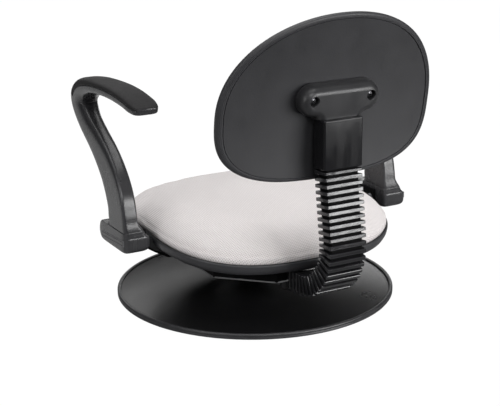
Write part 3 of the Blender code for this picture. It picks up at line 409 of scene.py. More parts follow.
def superellipse(half_width, half_depth, power, quarter):
    """Evenly spaced points of a superellipse, anticlockwise from +x, the same number in each quarter."""
    turn = np.linspace(0, math.pi / 2, 200)
    x = half_width * np.cos(turn).clip(0) ** (2 / power)
    n = half_depth * np.sin(turn).clip(0) ** (2 / power)
    length = np.concatenate([[0], np.cumsum(np.hypot(np.diff(x), np.diff(n)))])
    at = np.linspace(0, length[-1], quarter + 1)[:-1]
    x, n = np.interp(at, length, x), np.interp(at, length, n)
    mirrored_x = np.append(x[1:], 0.0)[::-1]
    mirrored_n = np.append(n[1:], half_depth)[::-1]
    half = np.concatenate([np.stack([x, n], 1), np.stack([-mirrored_x, mirrored_n], 1)])
    return np.concatenate([half, -half])


def placed(name, data):
    """New object in the scene."""
    obj = bpy.data.objects.new(name, data)
    bpy.context.scene.collection.objects.link(obj)
    return obj


def piece(name, mesh, look, body, replaces=()):
    obj = placed(name, mesh)
    for one in look if isinstance(look, (list, tuple)) else [look]:
        mesh.materials.append(one)
    if body:
        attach(obj, body)
    if replaces:
        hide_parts(*replaces)
    return obj


def baked(obj):
    """Puts the shape that the modifiers give into the mesh, and removes them."""
    graph = bpy.context.evaluated_depsgraph_get()
    mesh = bpy.data.meshes.new_from_object(obj.evaluated_get(graph), depsgraph=graph)
    old = obj.data
    obj.modifiers.clear()
    obj.data = mesh
    bpy.data.meshes.remove(old)


def cut(obj, mesh, operation="DIFFERENCE", place=None):
    """Boolean with a mesh that is thrown away afterwards."""
    tool = placed("tool", mesh)
    if place is not None:
        tool.matrix_world = place
    bpy.context.view_layer.update()
    modifier = obj.modifiers.new("cut", "BOOLEAN")
    modifier.operation = operation
    modifier.solver = "EXACT"
    modifier.object = tool
    baked(obj)
    bpy.data.objects.remove(tool)
    bpy.data.meshes.remove(mesh)


def box_mesh(low, high):
    (x0, y0, z0), (x1, y1, z1) = low, high
    rings = [[(x0, y0, z), (x1, y0, z), (x1, y1, z), (x0, y1, z)] for z in (z0, z1)]
    return loft("box", rings)


def pointing(position, direction):
    turn = Vector(direction).normalized().to_track_quat("Z", "Y").to_matrix().to_4x4()
    return Matrix.Translation(position) @ turn


def egg(turn, half_width, to_top, to_bottom, top_power, bottom_power):
    c, s = math.cos(turn), math.sin(turn)
    power, reach = (top_power, to_top) if s >= 0 else (bottom_power, to_bottom)
    x = half_width * math.copysign(abs(c) ** (2 / power), c)
    return x, reach * math.copysign(abs(s) ** (2 / power), s)


def egg_share(x, y, half_width, to_top, to_bottom, top_power, bottom_power):
    """How far out a point lies: 0 in the middle of the egg and 1 on its outline."""
    power, reach = (top_power, to_top) if y >= 0 else (bottom_power, to_bottom)
    return (abs(x / half_width) ** power + abs(y / reach) ** power) ** (1 / power)


# ---- base


def build_base():
    """Domed steel dish with a raised band round its rim."""
    dome_radius, dome_top, rim_z, flat_radius, hole_radius = 0.2290, 0.0295, 0.0062, 0.050, 0.0235
    wall, foot_z, segments = 0.002, 0.0006, 160

    def height(radius):
        share = max(0.0, (radius - flat_radius) / (dome_radius - flat_radius))
        return rim_z + (dome_top - rim_z) * (1 - share**1.5)

    steps = 40
    radii = [hole_radius + (dome_radius - hole_radius) * i / steps for i in range(steps + 1)]
    top = [(r, height(r)) for r in radii]
    inside = dome_radius - 0.0045
    skirt = [(dome_radius, foot_z), (inside, foot_z), (inside, rim_z - 0.001)]
    under = [(r, height(r) - wall) for r in reversed(radii[:-2])]
    dome = lathe("base_dome_skin", top + skirt + under, segments, True)
    piece("base_dome_skin", dome, POWDER, "base", ("base_dome",))
    inner = dome_radius + GAP
    outer = 0.2325
    corners = [
        (inner, foot_z), (inner, 0.0070), (dome_radius - 0.0022, 0.0078), (dome_radius - 0.0024, 0.0084),
        (dome_radius - 0.0018, 0.0091), (dome_radius - 0.0006, 0.0096), (inner + 0.0006, 0.0098),
        (outer - 0.0014, 0.0094), (outer - 0.0005, 0.0086), (outer, 0.0074), (outer, 0.0058),
        (outer - 0.0003, 0.0052), (outer - 0.0003, 0.0046), (outer, 0.0040), (outer, 0.0016),
        (outer - 0.0008, foot_z),
    ]
    band = lathe("base_edge_band", corners, segments, True)
    piece("base_edge_band", band, EDGE, "base", ("base_edge_trim",))


# ---- seat


def rim_height(y):
    return RIM_HEIGHT + RIM_SLOPE * y + RIM_CURVATURE * y * y


SHELL_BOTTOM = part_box("seat_shell")[0].z


def on_seat(turn, entry):
    """A profile entry is (share, blend, height): blend 0 is the flat bottom's level and 1 the rim's."""
    share, blend, height = entry
    x, y = egg(turn, *SEAT_OUTLINE)
    x *= share
    y = SEAT_CENTRE_Y + y * share
    return Vector((x, y, SHELL_BOTTOM * (1 - blend) + rim_height(y) * blend + height))


def build_seat_shell():
    wall = SHELL_WALL
    outside = [(0.0, 0.0, 0.0), (0.35, 0.0, 0.0), (0.66, 0.0, 0.0), (0.70, 0.0, 0.0)]
    outside += [tuple(p) for p in spline(
        [(0.72, 0.05, -0.0006), (0.86, 0.45, -0.0060), (0.955, 0.95, -0.0140), (0.985, 1.0, -0.0117),
         (0.9965, 1.0, -0.0062), (0.9995, 1.0, -0.0022)], 5)]
    lip = [(1.0, 1.0, -0.0008), (0.9988, 1.0, 0.0002), (0.9965, 1.0, 0.0008), (0.9925, 1.0, 0.0010),
           (0.9885, 1.0, 0.0008), (0.986, 1.0, 0.0001), (0.9845, 1.0, -0.0010), (0.978, 1.0, -0.0060)]
    inside = [(0.955, 0.97, -0.0115), (0.93, 0.86, -0.0105), (0.86, 0.45, -0.0060 + wall),
              (0.70, 0.0, wall), (0.66, 0.0, wall), (0.0, 0.0, wall)]
    mesh = disc_solid("seat_shell_skin", on_seat, outside + lip + inside, 200)
    piece("seat_shell_skin", mesh, SHELL, "seat", ("seat_shell",))


def share_limit(height, table):
    """Largest share a cushion point may have at a height, from (height, share) pairs."""
    heights, shares = zip(*table)
    return float(np.interp(height, heights, shares))


def edge_pull(height, share, edge, over):
    """Factor that brings a point of a cushion's side onto its outline, and keeps the rest inside it."""
    if share < 0.93 or height < edge[0][0]:
        return 1.0
    if height > edge[-1][0]:
        return min(1.0, share_limit(height, over) / share)
    return share_limit(height, edge) / share


VOXEL = 0.005
SWELL_FRAMES = 20
SWELL_PRESSURE = 4.0
SWELL_CAP = 0.0018


def swell(obj, held):
    """Cloth simulation: the cushion swells as air-filled cloth, and the points that held() picks stay."""
    remesh = obj.modifiers.new("remesh", "REMESH")
    remesh.mode = "VOXEL"
    remesh.voxel_size = VOXEL
    baked(obj)
    start = np.array([v.co for v in obj.data.vertices])
    pins = obj.vertex_groups.new(name="pins")
    pins.add([i for i, p in enumerate(start) if held(p)], 1.0, "REPLACE")
    cloth = obj.modifiers.new("cloth", "CLOTH")
    settings = cloth.settings
    settings.quality = 6
    settings.mass = 0.25
    settings.tension_stiffness = 18
    settings.compression_stiffness = 18
    settings.bending_stiffness = 2.0
    settings.vertex_group_mass = "pins"
    settings.use_pressure = True
    settings.uniform_pressure_force = SWELL_PRESSURE
    settings.effector_weights.gravity = 0.0
    cloth.collision_settings.use_collision = False
    cloth.point_cache.frame_end = SWELL_FRAMES
    for number in range(1, SWELL_FRAMES + 1):
        bpy.context.scene.frame_set(number)
    graph = bpy.context.evaluated_depsgraph_get()
    moved = np.array([v.co for v in obj.evaluated_get(graph).data.vertices])
    obj.modifiers.clear()
    obj.vertex_groups.clear()
    bpy.context.scene.frame_set(1)
    shift = moved - start
    length = np.linalg.norm(shift, axis=1)
    shift *= np.minimum(1.0, SWELL_CAP / np.maximum(length, 1e-9))[:, None]
    obj.data.vertices.foreach_set("co", (start + shift).ravel())


def smoothed(obj):
    relax = obj.modifiers.new("relax", "SMOOTH")
    relax.factor = 0.5
    relax.iterations = 6
    finer = obj.modifiers.new("finer", "SUBSURF")
    finer.levels = 1
    finer.render_levels = 1
    baked(obj)


# How far a cushion's filled underside starts above the outside of its shell, and the height of its crown.
CUSHION_CLEAR = SHELL_WALL + 0.0017
CUSHION_SEGMENTS = 140
SEAT_CROWN = 0.0405
BACK_CROWN = 0.0463


def build_seat_cushion():
    clear = CUSHION_CLEAR
    profile = [(0.0, 0.0, clear), (0.35, 0.0, clear), (0.66, 0.0, clear), (0.70, 0.0, clear),
               (0.86, 0.45, -0.0060 + clear), (0.93, 0.90, -0.0080), (0.955, 0.98, -0.0070),
               (0.964, 1.0, -0.0058)]
    profile += [tuple(p) for p in spline(
        [(0.970, 1.0, -0.0045), (0.977, 1.0, 0.0002), (0.988, 1.0, 0.0050), (0.984, 1.0, 0.0110),
         (0.957, 1.0, 0.0185), (0.89, 1.0, 0.0270), (0.76, 1.0, 0.0340), (0.52, 1.0, 0.0385),
         (0.26, 1.0, 0.0403)], 4)]
    profile.append((0.0, 1.0, SEAT_CROWN))
    mesh = disc_solid("seat_cushion_cover", on_seat, profile, CUSHION_SEGMENTS)
    cushion = piece("seat_cushion_cover", mesh, SEAT_CLOTH, None, ("seat_cushion",))
    swell(cushion, lambda p: p[2] < rim_height(p[1]) + 0.0015)
    smoothed(cushion)
    edge = ((-0.0055, 0.966), (-0.0045, 0.970), (0.0, 0.977), (0.0025, 0.984), (0.0050, 0.988),
            (0.0110, 0.984))
    over = ((0.0110, 0.984), (0.02, 0.972), (0.028, 0.94), (0.05, 0.94))
    for vertex in cushion.data.vertices:
        x, y, z = vertex.co
        share = egg_share(x, y - SEAT_CENTRE_Y, *SEAT_OUTLINE)
        pull = edge_pull(z - rim_height(y), share, edge, over)
        vertex.co = (x * pull, SEAT_CENTRE_Y + (y - SEAT_CENTRE_Y) * pull, z)
    tidy_mesh(cushion.data, 180)
    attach(cushion, "seat")


def piping(name, centres, radius, body):
    """Thin closed cord through the given points."""
    middle = sum(centres, Vector()) / len(centres)
    rings = []
    for index, centre in enumerate(centres):
        along = (centres[(index + 1) % len(centres)] - centres[index - 1]).normalized()
        sideways = along.cross((centre - middle).normalized()).normalized()
        outward = sideways.cross(along)
        ring = [centre + (sideways * math.sin(t) + outward * math.cos(t)) * radius for t in turns_round(10)]
        rings.append(ring)
    piece(name, loft(name, rings, True, 60), PIPING, body)


def build_piping():
    """Cords that close the gap between each cushion and its shell."""
    seat_line = [on_seat(turn, (0.9895, 1.0, 0.0011)) for turn in turns_round(240)]
    piping("seat_piping", seat_line, 0.0011, "seat")
    back_line = [on_back(turn, (0.9835, 0.0068)) for turn in turns_round(240)]
    piping("back_piping", back_line, 0.0013, "back")


# ---- backrest


def back_bow(u, v):
    return BACK_SIDE_CURVE * u * u + BACK_HEIGHT_CURVE * v * v


def flat_back_point(u, v, forward):
    return BACK_CENTRE + Vector((u, 0, 0)) + BACK_UP * v + BACK_FORWARD * forward


def back_point(u, v, forward):
    return flat_back_point(u, v, forward + back_bow(u, v))


def on_back(turn, entry):
    share, forward = entry
    u, v = egg(turn, *BACK_OUTLINE)
    return back_point(u * share, v * share, forward)


def build_back_shell():
    panel = [(0.0, 0.0)] + [(0.05 * i, 0.0) for i in range(1, 19)] + [(0.930, 0.0), (0.9390, 0.0)]
    groove = [(0.9405, 0.0003), (0.9420, 0.0009), (0.9450, 0.0009), (0.9465, 0.0002)]
    band = [(0.9480, -0.0006), (0.9510, -0.0010), (0.9600, -0.0010), (0.9610, -0.0006), (0.9625, -0.0006),
            (0.9635, -0.0010), (0.9720, -0.0008), (0.9730, -0.0004), (0.9745, -0.0004), (0.9755, -0.0007)]
    edge = [(0.9840, -0.0001), (0.9910, 0.0006), (0.9955, 0.0016), (0.9985, 0.0028), (1.0, 0.0042),
            (1.0, 0.0060), (0.9990, 0.0068), (0.9900, 0.0068), (0.9880, 0.0064)]
    wall = SHELL_WALL
    inside = [(0.984, 0.0040), (0.956, wall), (0.80, wall), (0.60, wall), (0.30, wall), (0.0, wall)]
    mesh = disc_solid("back_shell_skin", on_back, panel + groove + band + edge + inside, 220, 28)
    piece("back_shell_skin", mesh, BACK_PANEL, "back", ("back_shell",))


def build_back_cushion():
    clear = CUSHION_CLEAR
    profile = [(0.0, clear), (0.30, clear), (0.60, clear), (0.80, clear), (0.93, 0.0046), (0.955, 0.0050),
               (0.970, 0.0056)]
    profile += [tuple(p) for p in spline(
        [(0.976, 0.0070), (0.979, 0.0095), (0.970, 0.0145), (0.940, 0.0210), (0.895, 0.0280), (0.82, 0.0350),
         (0.66, 0.0414), (0.38, 0.0452), (0.15, 0.0462)], 4)]
    profile.append((0.0, BACK_CROWN))
    mesh = disc_solid("back_cushion_cover", on_back, profile, CUSHION_SEGMENTS)
    cushion = piece("back_cushion_cover", mesh, BACK_CLOTH, None, ("back_cushion",))

    def depth(p):
        """How far forward a point lies of the back's bowed middle surface."""
        from_centre = Vector(p) - BACK_CENTRE
        return from_centre.dot(BACK_FORWARD) - back_bow(p[0], from_centre.dot(BACK_UP))

    swell(cushion, lambda p: depth(p) < 0.0125)
    smoothed(cushion)
    edge = ((0.0056, 0.970), (0.0070, 0.976), (0.0095, 0.979), (0.0145, 0.972))
    over = ((0.0145, 0.972), (0.021, 0.96), (0.03, 0.94), (0.06, 0.94))
    for vertex in cushion.data.vertices:
        across, up = vertex.co.x, (vertex.co - BACK_CENTRE).dot(BACK_UP)
        forward = depth(vertex.co)
        pull = edge_pull(forward, egg_share(across, up, *BACK_OUTLINE), edge, over)
        if pull != 1.0:
            vertex.co = back_point(across * pull, up * pull, forward)
    tidy_mesh(cushion.data, 180)
    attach(cushion, "back")


def cover_outline(shrink, bottom_v=COVER_BOTTOM_V):
    """(u, v) outline of the cover: a round-ended bar that flows into a neck as wide as the sleeve."""
    half_height = (COVER_TOP_V - COVER_SHOULDER_V) / 2
    middle_v = COVER_SHOULDER_V + half_height
    radius = half_height - shrink
    end_centre = COVER_HALF_WIDTH - half_height
    neck = Vector((COVER_NECK - shrink, bottom_v))
    shoulder = Vector((end_centre + 0.004, middle_v - radius))
    corner = Vector((COVER_NECK - shrink + 0.0006, middle_v - radius + 0.0004))
    right = []
    bend = 12
    for i in range(bend):
        t = i / bend
        p = neck * (1 - t) ** 2 + corner * 2 * t * (1 - t) + shoulder * t**2
        right.append((p.x, p.y))
    first = math.asin(min(1.0, 0.004 / radius)) - math.pi / 2
    steps = 28
    for i in range(steps + 1):
        turn = first + (math.pi / 2 - first) * i / steps
        right.append((end_centre + radius * math.cos(turn), middle_v + radius * math.sin(turn)))
    return right + [(-u, v) for u, v in reversed(right)]


def build_cover():
    wall, round_over, depth, front, boss_root = 0.0028, 0.0125, 0.0150, -0.0024, -0.0042
    steps = 12
    rings, sections = [], []
    for i in range(steps + 1):
        turn = math.pi / 2 * (1 - i / steps)
        sections.append((round_over * (1 - math.cos(turn)), COVER_REAR + depth * (1 - math.sin(turn))))
    sections += [(0.0, -0.0060), (0.0, -0.0032), (0.0006, front)]
    for shrink, forward in sections:
        rings.append([flat_back_point(u, v, forward) for u, v in cover_outline(shrink)])
    for shrink, forward in ((wall, front), (wall, -0.0110), (round_over + 0.001, COVER_REAR + wall)):
        outline = cover_outline(shrink, COVER_BOTTOM_V + wall)
        rings.append([flat_back_point(u, v, forward) for u, v in outline])
    cover = piece("bracket_cover_skin", loft("bracket_cover_skin", rings), COVER, None)
    level = SLEEVE_TOP + GAP
    cut(cover, box_mesh((-0.1, 0.15, level - 0.05), (0.1, 0.35, level)))
    for sign in (1, -1):
        root = flat_back_point(sign * BACK_SCREW_X, BACK_SCREW_V, boss_root)
        boss = lathe("boss", [(0.0095, 0.0), (0.0095, -COVER_REAR + boss_root - 0.0012)], 48)
        cut(cover, boss, "UNION", pointing(root, -BACK_FORWARD))
    for sign in (1, -1):
        seat = flat_back_point(sign * BACK_SCREW_X, BACK_SCREW_V, SCREW_SEAT)
        mouth = [(0.0072, 0.0), (0.0072, 0.0090), (0.0086, 0.0106), (0.0086, 0.02)]
        cut(cover, lathe("recess", mouth, 48), "DIFFERENCE", pointing(seat, -BACK_FORWARD))
        shank = lathe("shank hole", [(0.0026, -0.02), (0.0026, 0.005)], 24)
        cut(cover, shank, "DIFFERENCE", pointing(seat, -BACK_FORWARD))
    soften = cover.modifiers.new("soften", "BEVEL")
    soften.width = 0.0004
    soften.segments = 2
    soften.limit_method = "ANGLE"
    soften.angle_limit = math.radians(38)
    baked(cover)
    tidy_mesh(cover.data, 32)
    weigh = cover.modifiers.new("weigh", "WEIGHTED_NORMAL")
    weigh.keep_sharp = True
    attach(cover, "back")
    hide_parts("back_bracket_cover")


def cross_head_screw(name):
    """Screw along -Z with a domed head, the head's underside at Z = 0 and a cross recess."""
    head_radius, head_height, shank_radius, length = 0.0058, 0.0056, 0.0022, 0.0224
    dome = []
    for i in range(9):
        turn = math.pi / 2 * i / 8
        dome.append((head_radius * math.cos(turn) + 1e-5, head_height * (0.30 + 0.70 * math.sin(turn))))
    profile = [(shank_radius * 0.3, -length), (shank_radius, -length + shank_radius), (shank_radius, 0.0)]
    profile += [(head_radius * 0.97, 0.0), (head_radius, head_height * 0.06)] + dome
    screw = piece(name, lathe(name, profile, 48), BLACK_SCREW, None)
    arm, slot_width = head_radius * 0.58, head_radius * 0.13
    for wide, narrow in ((arm, slot_width), (slot_width, arm)):
        low, high = head_height * 0.25, head_height * 1.2
        rings = []
        for z, grow in ((low, 0.6), (high, 1.0)):
            x, y = wide * (grow if wide > narrow else 1.0), narrow * (grow if narrow > wide else 1.0)
            rings.append([(-x, -y, z), (x, -y, z), (x, y, z), (-x, y, z)])
        cut(screw, loft("slot", rings))
    tidy_mesh(screw.data, 30)
    return screw


def build_back_screws():
    for number, sign in enumerate((1, -1), start=1):
        screw = cross_head_screw(f"back_screw_head_{number}")
        seat = flat_back_point(sign * BACK_SCREW_X, BACK_SCREW_V, SCREW_SEAT - GAP)
        spin = Matrix.Rotation(math.radians(25 + 30 * number), 4, "Z")
        screw.matrix_world = pointing(seat, -BACK_FORWARD) @ spin
        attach(screw, "back")
        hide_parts(f"back_screw_{number}")


# ---- upright


def bar_path(step, first_y, last_z):
    """(y, z, tilt) along the bar's middle: level run, bend, leaning part and upright. Tilt 0 is +Y."""
    bend_y, bend_z = BEND_CENTRE
    stations = []
    for i in range(max(round((bend_y - first_y) / step), 1)):
        stations.append((first_y + i * step, BAR_RUN_Z, 0.0))
    sweep = math.pi / 2 + UPRIGHT_LEAN
    turns = round(BEND_RADIUS * sweep / step)
    for i in range(turns + 1):
        tilt = sweep * i / turns
        stations.append((bend_y + BEND_RADIUS * math.sin(tilt), bend_z - BEND_RADIUS * math.cos(tilt), tilt))
    start_y, start_z, tilt = stations[-1]
    knee_z = min(start_z + (start_y - SLEEVE_CENTRE_Y) / math.tan(UPRIGHT_LEAN), last_z)
    rises = max(round((knee_z - start_z) / step), 1)
    for i in range(1, rises + 1):
        z = start_z + (knee_z - start_z) * i / rises
        y = start_y - (z - start_z) * math.tan(UPRIGHT_LEAN)
        stations.append((y, z, tilt if i < rises else math.pi / 2 + UPRIGHT_LEAN / 2))
    if last_z > knee_z + step / 2:
        stations.append((SLEEVE_CENTRE_Y, last_z, math.pi / 2))
    return stations


def between(stations, share):
    index = min(int(share), len(stations) - 2)
    part = share - index
    return tuple(a + (b - a) * part for a, b in zip(stations[index], stations[index + 1]))


def station_ring(station, section):
    y, z, tilt = station
    return [Vector((x, y - n * math.sin(tilt), z + n * math.cos(tilt))) for x, n in section]


def mark_hollows(mesh, valley):
    """Gives the second material, a near-black painted shade, to what lies no further out than the valleys
    between the ribs.
    """
    half_width, half_depth = valley
    path = bar_path(0.001, BOOT_FRONT, SLEEVE_BOTTOM)
    places = np.array([(y, z) for y, z, _ in path])
    for polygon in mesh.polygons:
        x, y, z = polygon.center
        near = int(np.argmin(np.hypot(places[:, 0] - y, places[:, 1] - z)))
        tilt = path[near][2]
        off = (z - path[near][1]) * math.cos(tilt) - (y - path[near][0]) * math.sin(tilt)
        if abs(x) < half_width + 0.0004 and abs(off) < half_depth + 0.0004:
            polygon.material_index = 1


def build_boot():
    """Ribbed boot: square ribs with small rounded edges, and hollows between them painted near-black as
    shade.
    """
    stations = bar_path(BOOT_PITCH, BOOT_FRONT, SLEEVE_BOTTOM - GAP)
    end_y, end_z, _ = stations[-1]
    stations[-1] = (end_y, end_z, math.pi / 2)
    valley, crest, edge, corner = (0.0270, 0.0115), (0.0320, 0.0160), (0.0315, 0.0155), 0.0016
    steps = ((0.03, valley), (0.10, valley), (0.17, edge), (0.215, crest), (0.44, crest), (0.655, crest),
             (0.70, edge), (0.78, valley), (0.90, valley))
    plain = rounded_section(*valley, corner)
    rings = [station_ring(stations[0], plain)]
    for index in range(len(stations) - 1):
        for share, (half_width, half_depth) in steps:
            section = rounded_section(half_width, half_depth, corner)
            rings.append(station_ring(between(stations, index + share), section))
    rings.append(station_ring(stations[-1], plain))
    bore = rounded_section(0.0232, 0.0075, 0.0015)
    rings += [station_ring(station, bore) for station in reversed(stations)]
    looks = [BOOT, BOOT_HOLLOW_SHADE]
    boot = piece("boot_skin", loft("boot_skin", rings, True, 30), looks, None, ("bellows",))
    mark_hollows(boot.data, valley)
    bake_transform(boot)


def build_sleeve():
    half_width, half_depth, corner = 0.0332, 0.0155, 0.0030
    levels = ((0.0, 0.0009), (0.0003, 0.0004), (0.0010, 0.0), (0.0016, 0.0), (0.0712, 0.0), (0.0718, 0.0),
              (0.0731, 0.0003), (0.0735, 0.0008))
    rings = []
    for height, inset in levels:
        section = rounded_section(half_width - inset, half_depth - inset, corner, 8)
        rings.append([Vector((x, SLEEVE_CENTRE_Y + n, SLEEVE_BOTTOM + height)) for x, n in section])
    sleeve = piece("sleeve_skin", loft("sleeve_skin", rings, False, 40), SLEEVE, None)
    slot_half, slot_depth, bar_front = 0.0223, 0.0094, SLEEVE_CENTRE_Y - 0.003
    low = (-slot_half, bar_front - GAP, SLEEVE_BOTTOM - 0.01)
    cut(sleeve, box_mesh(low, (slot_half, bar_front + slot_depth, SLEEVE_TOP + 0.01)))
    tidy_mesh(sleeve.data, 40)
    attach(sleeve, "back")
    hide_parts("back_sleeve")


# ---- arms

# Centre y and z, tilt in degrees, inside x, outside x, half depth and power of each section.
ARM_SECTIONS = (
    (0.0115, 0.1190, 0, 0.2262, 0.2560, 0.0385, 6),
    (0.0100, 0.1198, 0, 0.2232, 0.2578, 0.0450, 7.5),
    (0.0093, 0.1213, 0, 0.2202, 0.2591, 0.0485, 9),
    (0.0087, 0.1235, 0, 0.2178, 0.2598, 0.0508, 10),
    (0.0079, 0.1265, 0, 0.2163, 0.2600, 0.0524, 10),
    (0.0069, 0.1310, 0, 0.2155, 0.2600, 0.0536, 10),
    (0.0066, 0.1357, 0, 0.2155, 0.2600, 0.0539, 10),
    (0.0069, 0.1400, 0, 0.2156, 0.2600, 0.0536, 10),
    (0.0074, 0.1422, 0, 0.2163, 0.2600, 0.0530, 10),
    (0.0076, 0.1438, 0, 0.2180, 0.2600, 0.0525, 10),
    (0.0083, 0.1462, 0, 0.2208, 0.2600, 0.0518, 10),
    (0.0100, 0.1495, 0, 0.2230, 0.2600, 0.0500, 10),
    (0.0122, 0.1515, 0, 0.2241, 0.2600, 0.0478, 10),
    (0.0150, 0.1523, 0, 0.2246, 0.2598, 0.0450, 10),
    (0.0225, 0.1529, 0, 0.2250, 0.2592, 0.0374, 10),
    (0.0259, 0.1540, 0, 0.2257, 0.2590, 0.0339, 10),
    (0.0271, 0.1565, 0, 0.2274, 0.2594, 0.0326, 10),
    (0.0274, 0.1606, 0, 0.2302, 0.2595, 0.0319, 10),
    (0.0267, 0.1680, 0, 0.2338, 0.2595, 0.0316, 11),
    (0.0262, 0.1790, 2, 0.2347, 0.2596, 0.0310, 11),
    (0.0202, 0.2020, 12, 0.2350, 0.2600, 0.0315, 9),
    (0.0040, 0.2290, 24, 0.2350, 0.2604, 0.0305, 6),
    (-0.0235, 0.2560, 36, 0.2345, 0.2610, 0.0275, 4.4),
    (-0.0570, 0.2790, 44, 0.2335, 0.2618, 0.0238, 3.4),
    (-0.0880, 0.3000, 38, 0.2320, 0.2635, 0.0224, 3),
    (-0.1080, 0.3230, 14, 0.2300, 0.2655, 0.0235, 3),
    (-0.1095, 0.3385, -18, 0.2290, 0.2670, 0.0230, 3),
    (-0.0895, 0.3545, -50, 0.2280, 0.2685, 0.0180, 3),
    (-0.0500, 0.3650, -74, 0.2260, 0.2695, 0.0132, 3.4),
    (0.0000, 0.3695, -84, 0.2248, 0.2700, 0.0103, 4.2),
    (0.0500, 0.3695, -92, 0.2245, 0.2700, 0.0095, 4.6),
    (0.0950, 0.3655, -99, 0.2250, 0.2700, 0.0088, 4.8),
    (0.1230, 0.3605, -103, 0.2262, 0.2692, 0.0080, 4.8),
    (0.1320, 0.3587, -104, 0.2285, 0.2670, 0.0070, 4.4),
    (0.1350, 0.3580, -104, 0.2305, 0.2650, 0.0058, 4.2),
    (0.1360, 0.3578, -104, 0.2320, 0.2635, 0.0048, 4),
)
QUARTER = 26
PAD_STARTS = 26
SECTION_STEPS = 6
# Which points of a section, counted from its outside edge, sink into the line between pad and arm.
PAD_LINE = (4 * QUARTER - 2, 2 * QUARTER + 2)
PAD_LINE_DEPTH = 0.0007
# Scale of degrees and powers beside metres, where the spline is timed by distance.
SLOW = 0.001


def arm_ring(section, in_pad):
    centre_y, centre_z, tilt, inside, outside, half_depth, power = section
    middle, half_width = (inside + outside) / 2, (outside - inside) / 2
    flat = superellipse(half_width, half_depth, power, QUARTER)
    if in_pad:
        for index in PAD_LINE:
            flat[index, 0] -= math.copysign(PAD_LINE_DEPTH, flat[index, 0])
    c, s = math.cos(math.radians(tilt)), math.sin(math.radians(tilt))
    return [Vector((middle + x, centre_y + n * c, centre_z + n * s)) for x, n in flat]


def arm_mesh(name, shift):
    scale = np.array((1, 1, SLOW, 1, 1, 1, SLOW))
    dense = np.array(spline(np.array(ARM_SECTIONS) * scale, SECTION_STEPS)) / scale
    rings = []
    for index, section in enumerate(dense):
        ring = arm_ring(section, index > PAD_STARTS * SECTION_STEPS)
        rings.append([p + Vector((shift, 0, 0)) for p in ring])
    return loft(name, rings, False, 42), rings


def place_key(point):
    return tuple(round(c, 5) for c in point)


def build_arms():
    """Both arms, with the faces above the pad's line in the pad's material."""
    for side, shift in (("left", 0.0), ("right", -ARM_SPACING)):
        mesh, rings = arm_mesh(f"arm_{side}_skin", shift)
        arm = piece(f"arm_{side}_skin", mesh, [ARM, PAD], "seat", (f"arm_{side}",))
        pad = set()
        for i in range(PAD_STARTS * SECTION_STEPS, len(rings) - 1):
            for j in range(PAD_LINE[1], PAD_LINE[0]):
                pad.add(place_key((rings[i][j] + rings[i + 1][j + 1]) / 2))
        for polygon in arm.data.polygons:
            if len(polygon.vertices) == 4:
                corners = [arm.data.vertices[v].co for v in polygon.vertices]
                middles = [(corners[k] + corners[k + 2]) / 2 for k in (0, 1)]
                if any(place_key(middle) in pad for middle in middles):
                    polygon.material_index = 1


def build_foot_inlays():
    """Long round-fronted plate on the outer side of each arm's foot, with a thin line round its middle."""
    half_height, front, rear, level, slope = 0.0049, -0.0262, 0.0560, 0.1316, 0.063
    levels = ((0.0, -0.0012), (0.0, 0.0002), (0.0003, 0.0005), (0.0015, 0.0006), (0.0018, 0.0001),
              (0.0022, 0.0001), (0.0025, 0.0006), (0.0030, 0.0007), (0.0044, 0.0007))
    for side, face, sign in (("left", ARM_FOOT_OUTSIDE, 1), ("right", ARM_FOOT_INSIDE - ARM_SPACING, -1)):
        rings = []
        for inset, proud in levels:
            radius = half_height - inset
            outline = [(rear - inset, radius), (rear - inset, -radius)]
            for i in range(17):
                turn = -math.pi / 2 - math.pi * i / 16
                outline.append((front + radius * math.cos(turn), radius * math.sin(turn)))
            x = face + sign * proud
            rings.append([Vector((x, y, level + slope * (y - front) + n)) for y, n in outline])
        piece(f"arm_{side}_foot_inlay", loft("inlay", rings, False, 25), ARM, "seat")


def build_strap_webs():
    """Folded rear edge of each arm strap, close under the shell's rim."""
    outline = ((0.1790, 0.1074), (0.1870, 0.1118), (0.1945, 0.1165), (0.1986, 0.1193), (0.2013, 0.1240),
               (0.2021, 0.1296), (0.2060, 0.1318), (0.2110, 0.1318), (0.2110, 0.1230), (0.2070, 0.1160),
               (0.1970, 0.1092), (0.1860, 0.1050))
    for side, sign in (("left", 1), ("right", -1)):
        rings = [[Vector((sign * x, y, z)) for x, z in outline] for y in (0.0343, 0.0358)]
        piece(f"strap_web_{side}", loft("strap_web", rings, False, 20), BAR, "seat")


def build_pan_lip():
    """Rolled lower edge of the mechanism pan, rounded at its corners, in light grey as a painted highlight
    along the edge.
    """
    half_width, front, rear, front_cut, rear_cut, level = 0.125, -0.100, 0.1645, 0.030, 0.073, 0.0692
    corner_reach, lip_width, lip_height = 0.004, 0.0011, 0.0013
    right = [(half_width - front_cut, front), (half_width, front + front_cut), (half_width, rear - rear_cut),
             (half_width - rear_cut, rear)]
    outline = [Vector((x, y, level)) for x, y in right + [(-x, y) for x, y in reversed(right)]]
    rings = []
    for index, corner in enumerate(outline):
        before, after = outline[index - 1], outline[(index + 1) % len(outline)]
        first, second = (corner - before).normalized(), (after - corner).normalized()
        for share in (0.0, 0.25, 0.5, 0.75, 1.0):
            along = first.lerp(second, share).normalized()
            sideways = along.cross(Vector((0, 0, 1)))
            centre = corner - first * corner_reach * (1 - share) + second * corner_reach * share
            centre += (first - second) * -0.4 * corner_reach * share * (1 - share)
            rings.append([centre + sideways * lip_width * math.cos(turn)
                          + Vector((0, 0, lip_height * math.sin(turn))) for turn in turns_round(12)])
    piece("pan_lip", loft("pan_lip", rings, True, 40), PAN_LIP_HIGHLIGHT, "seat")


# ---- looks of every part

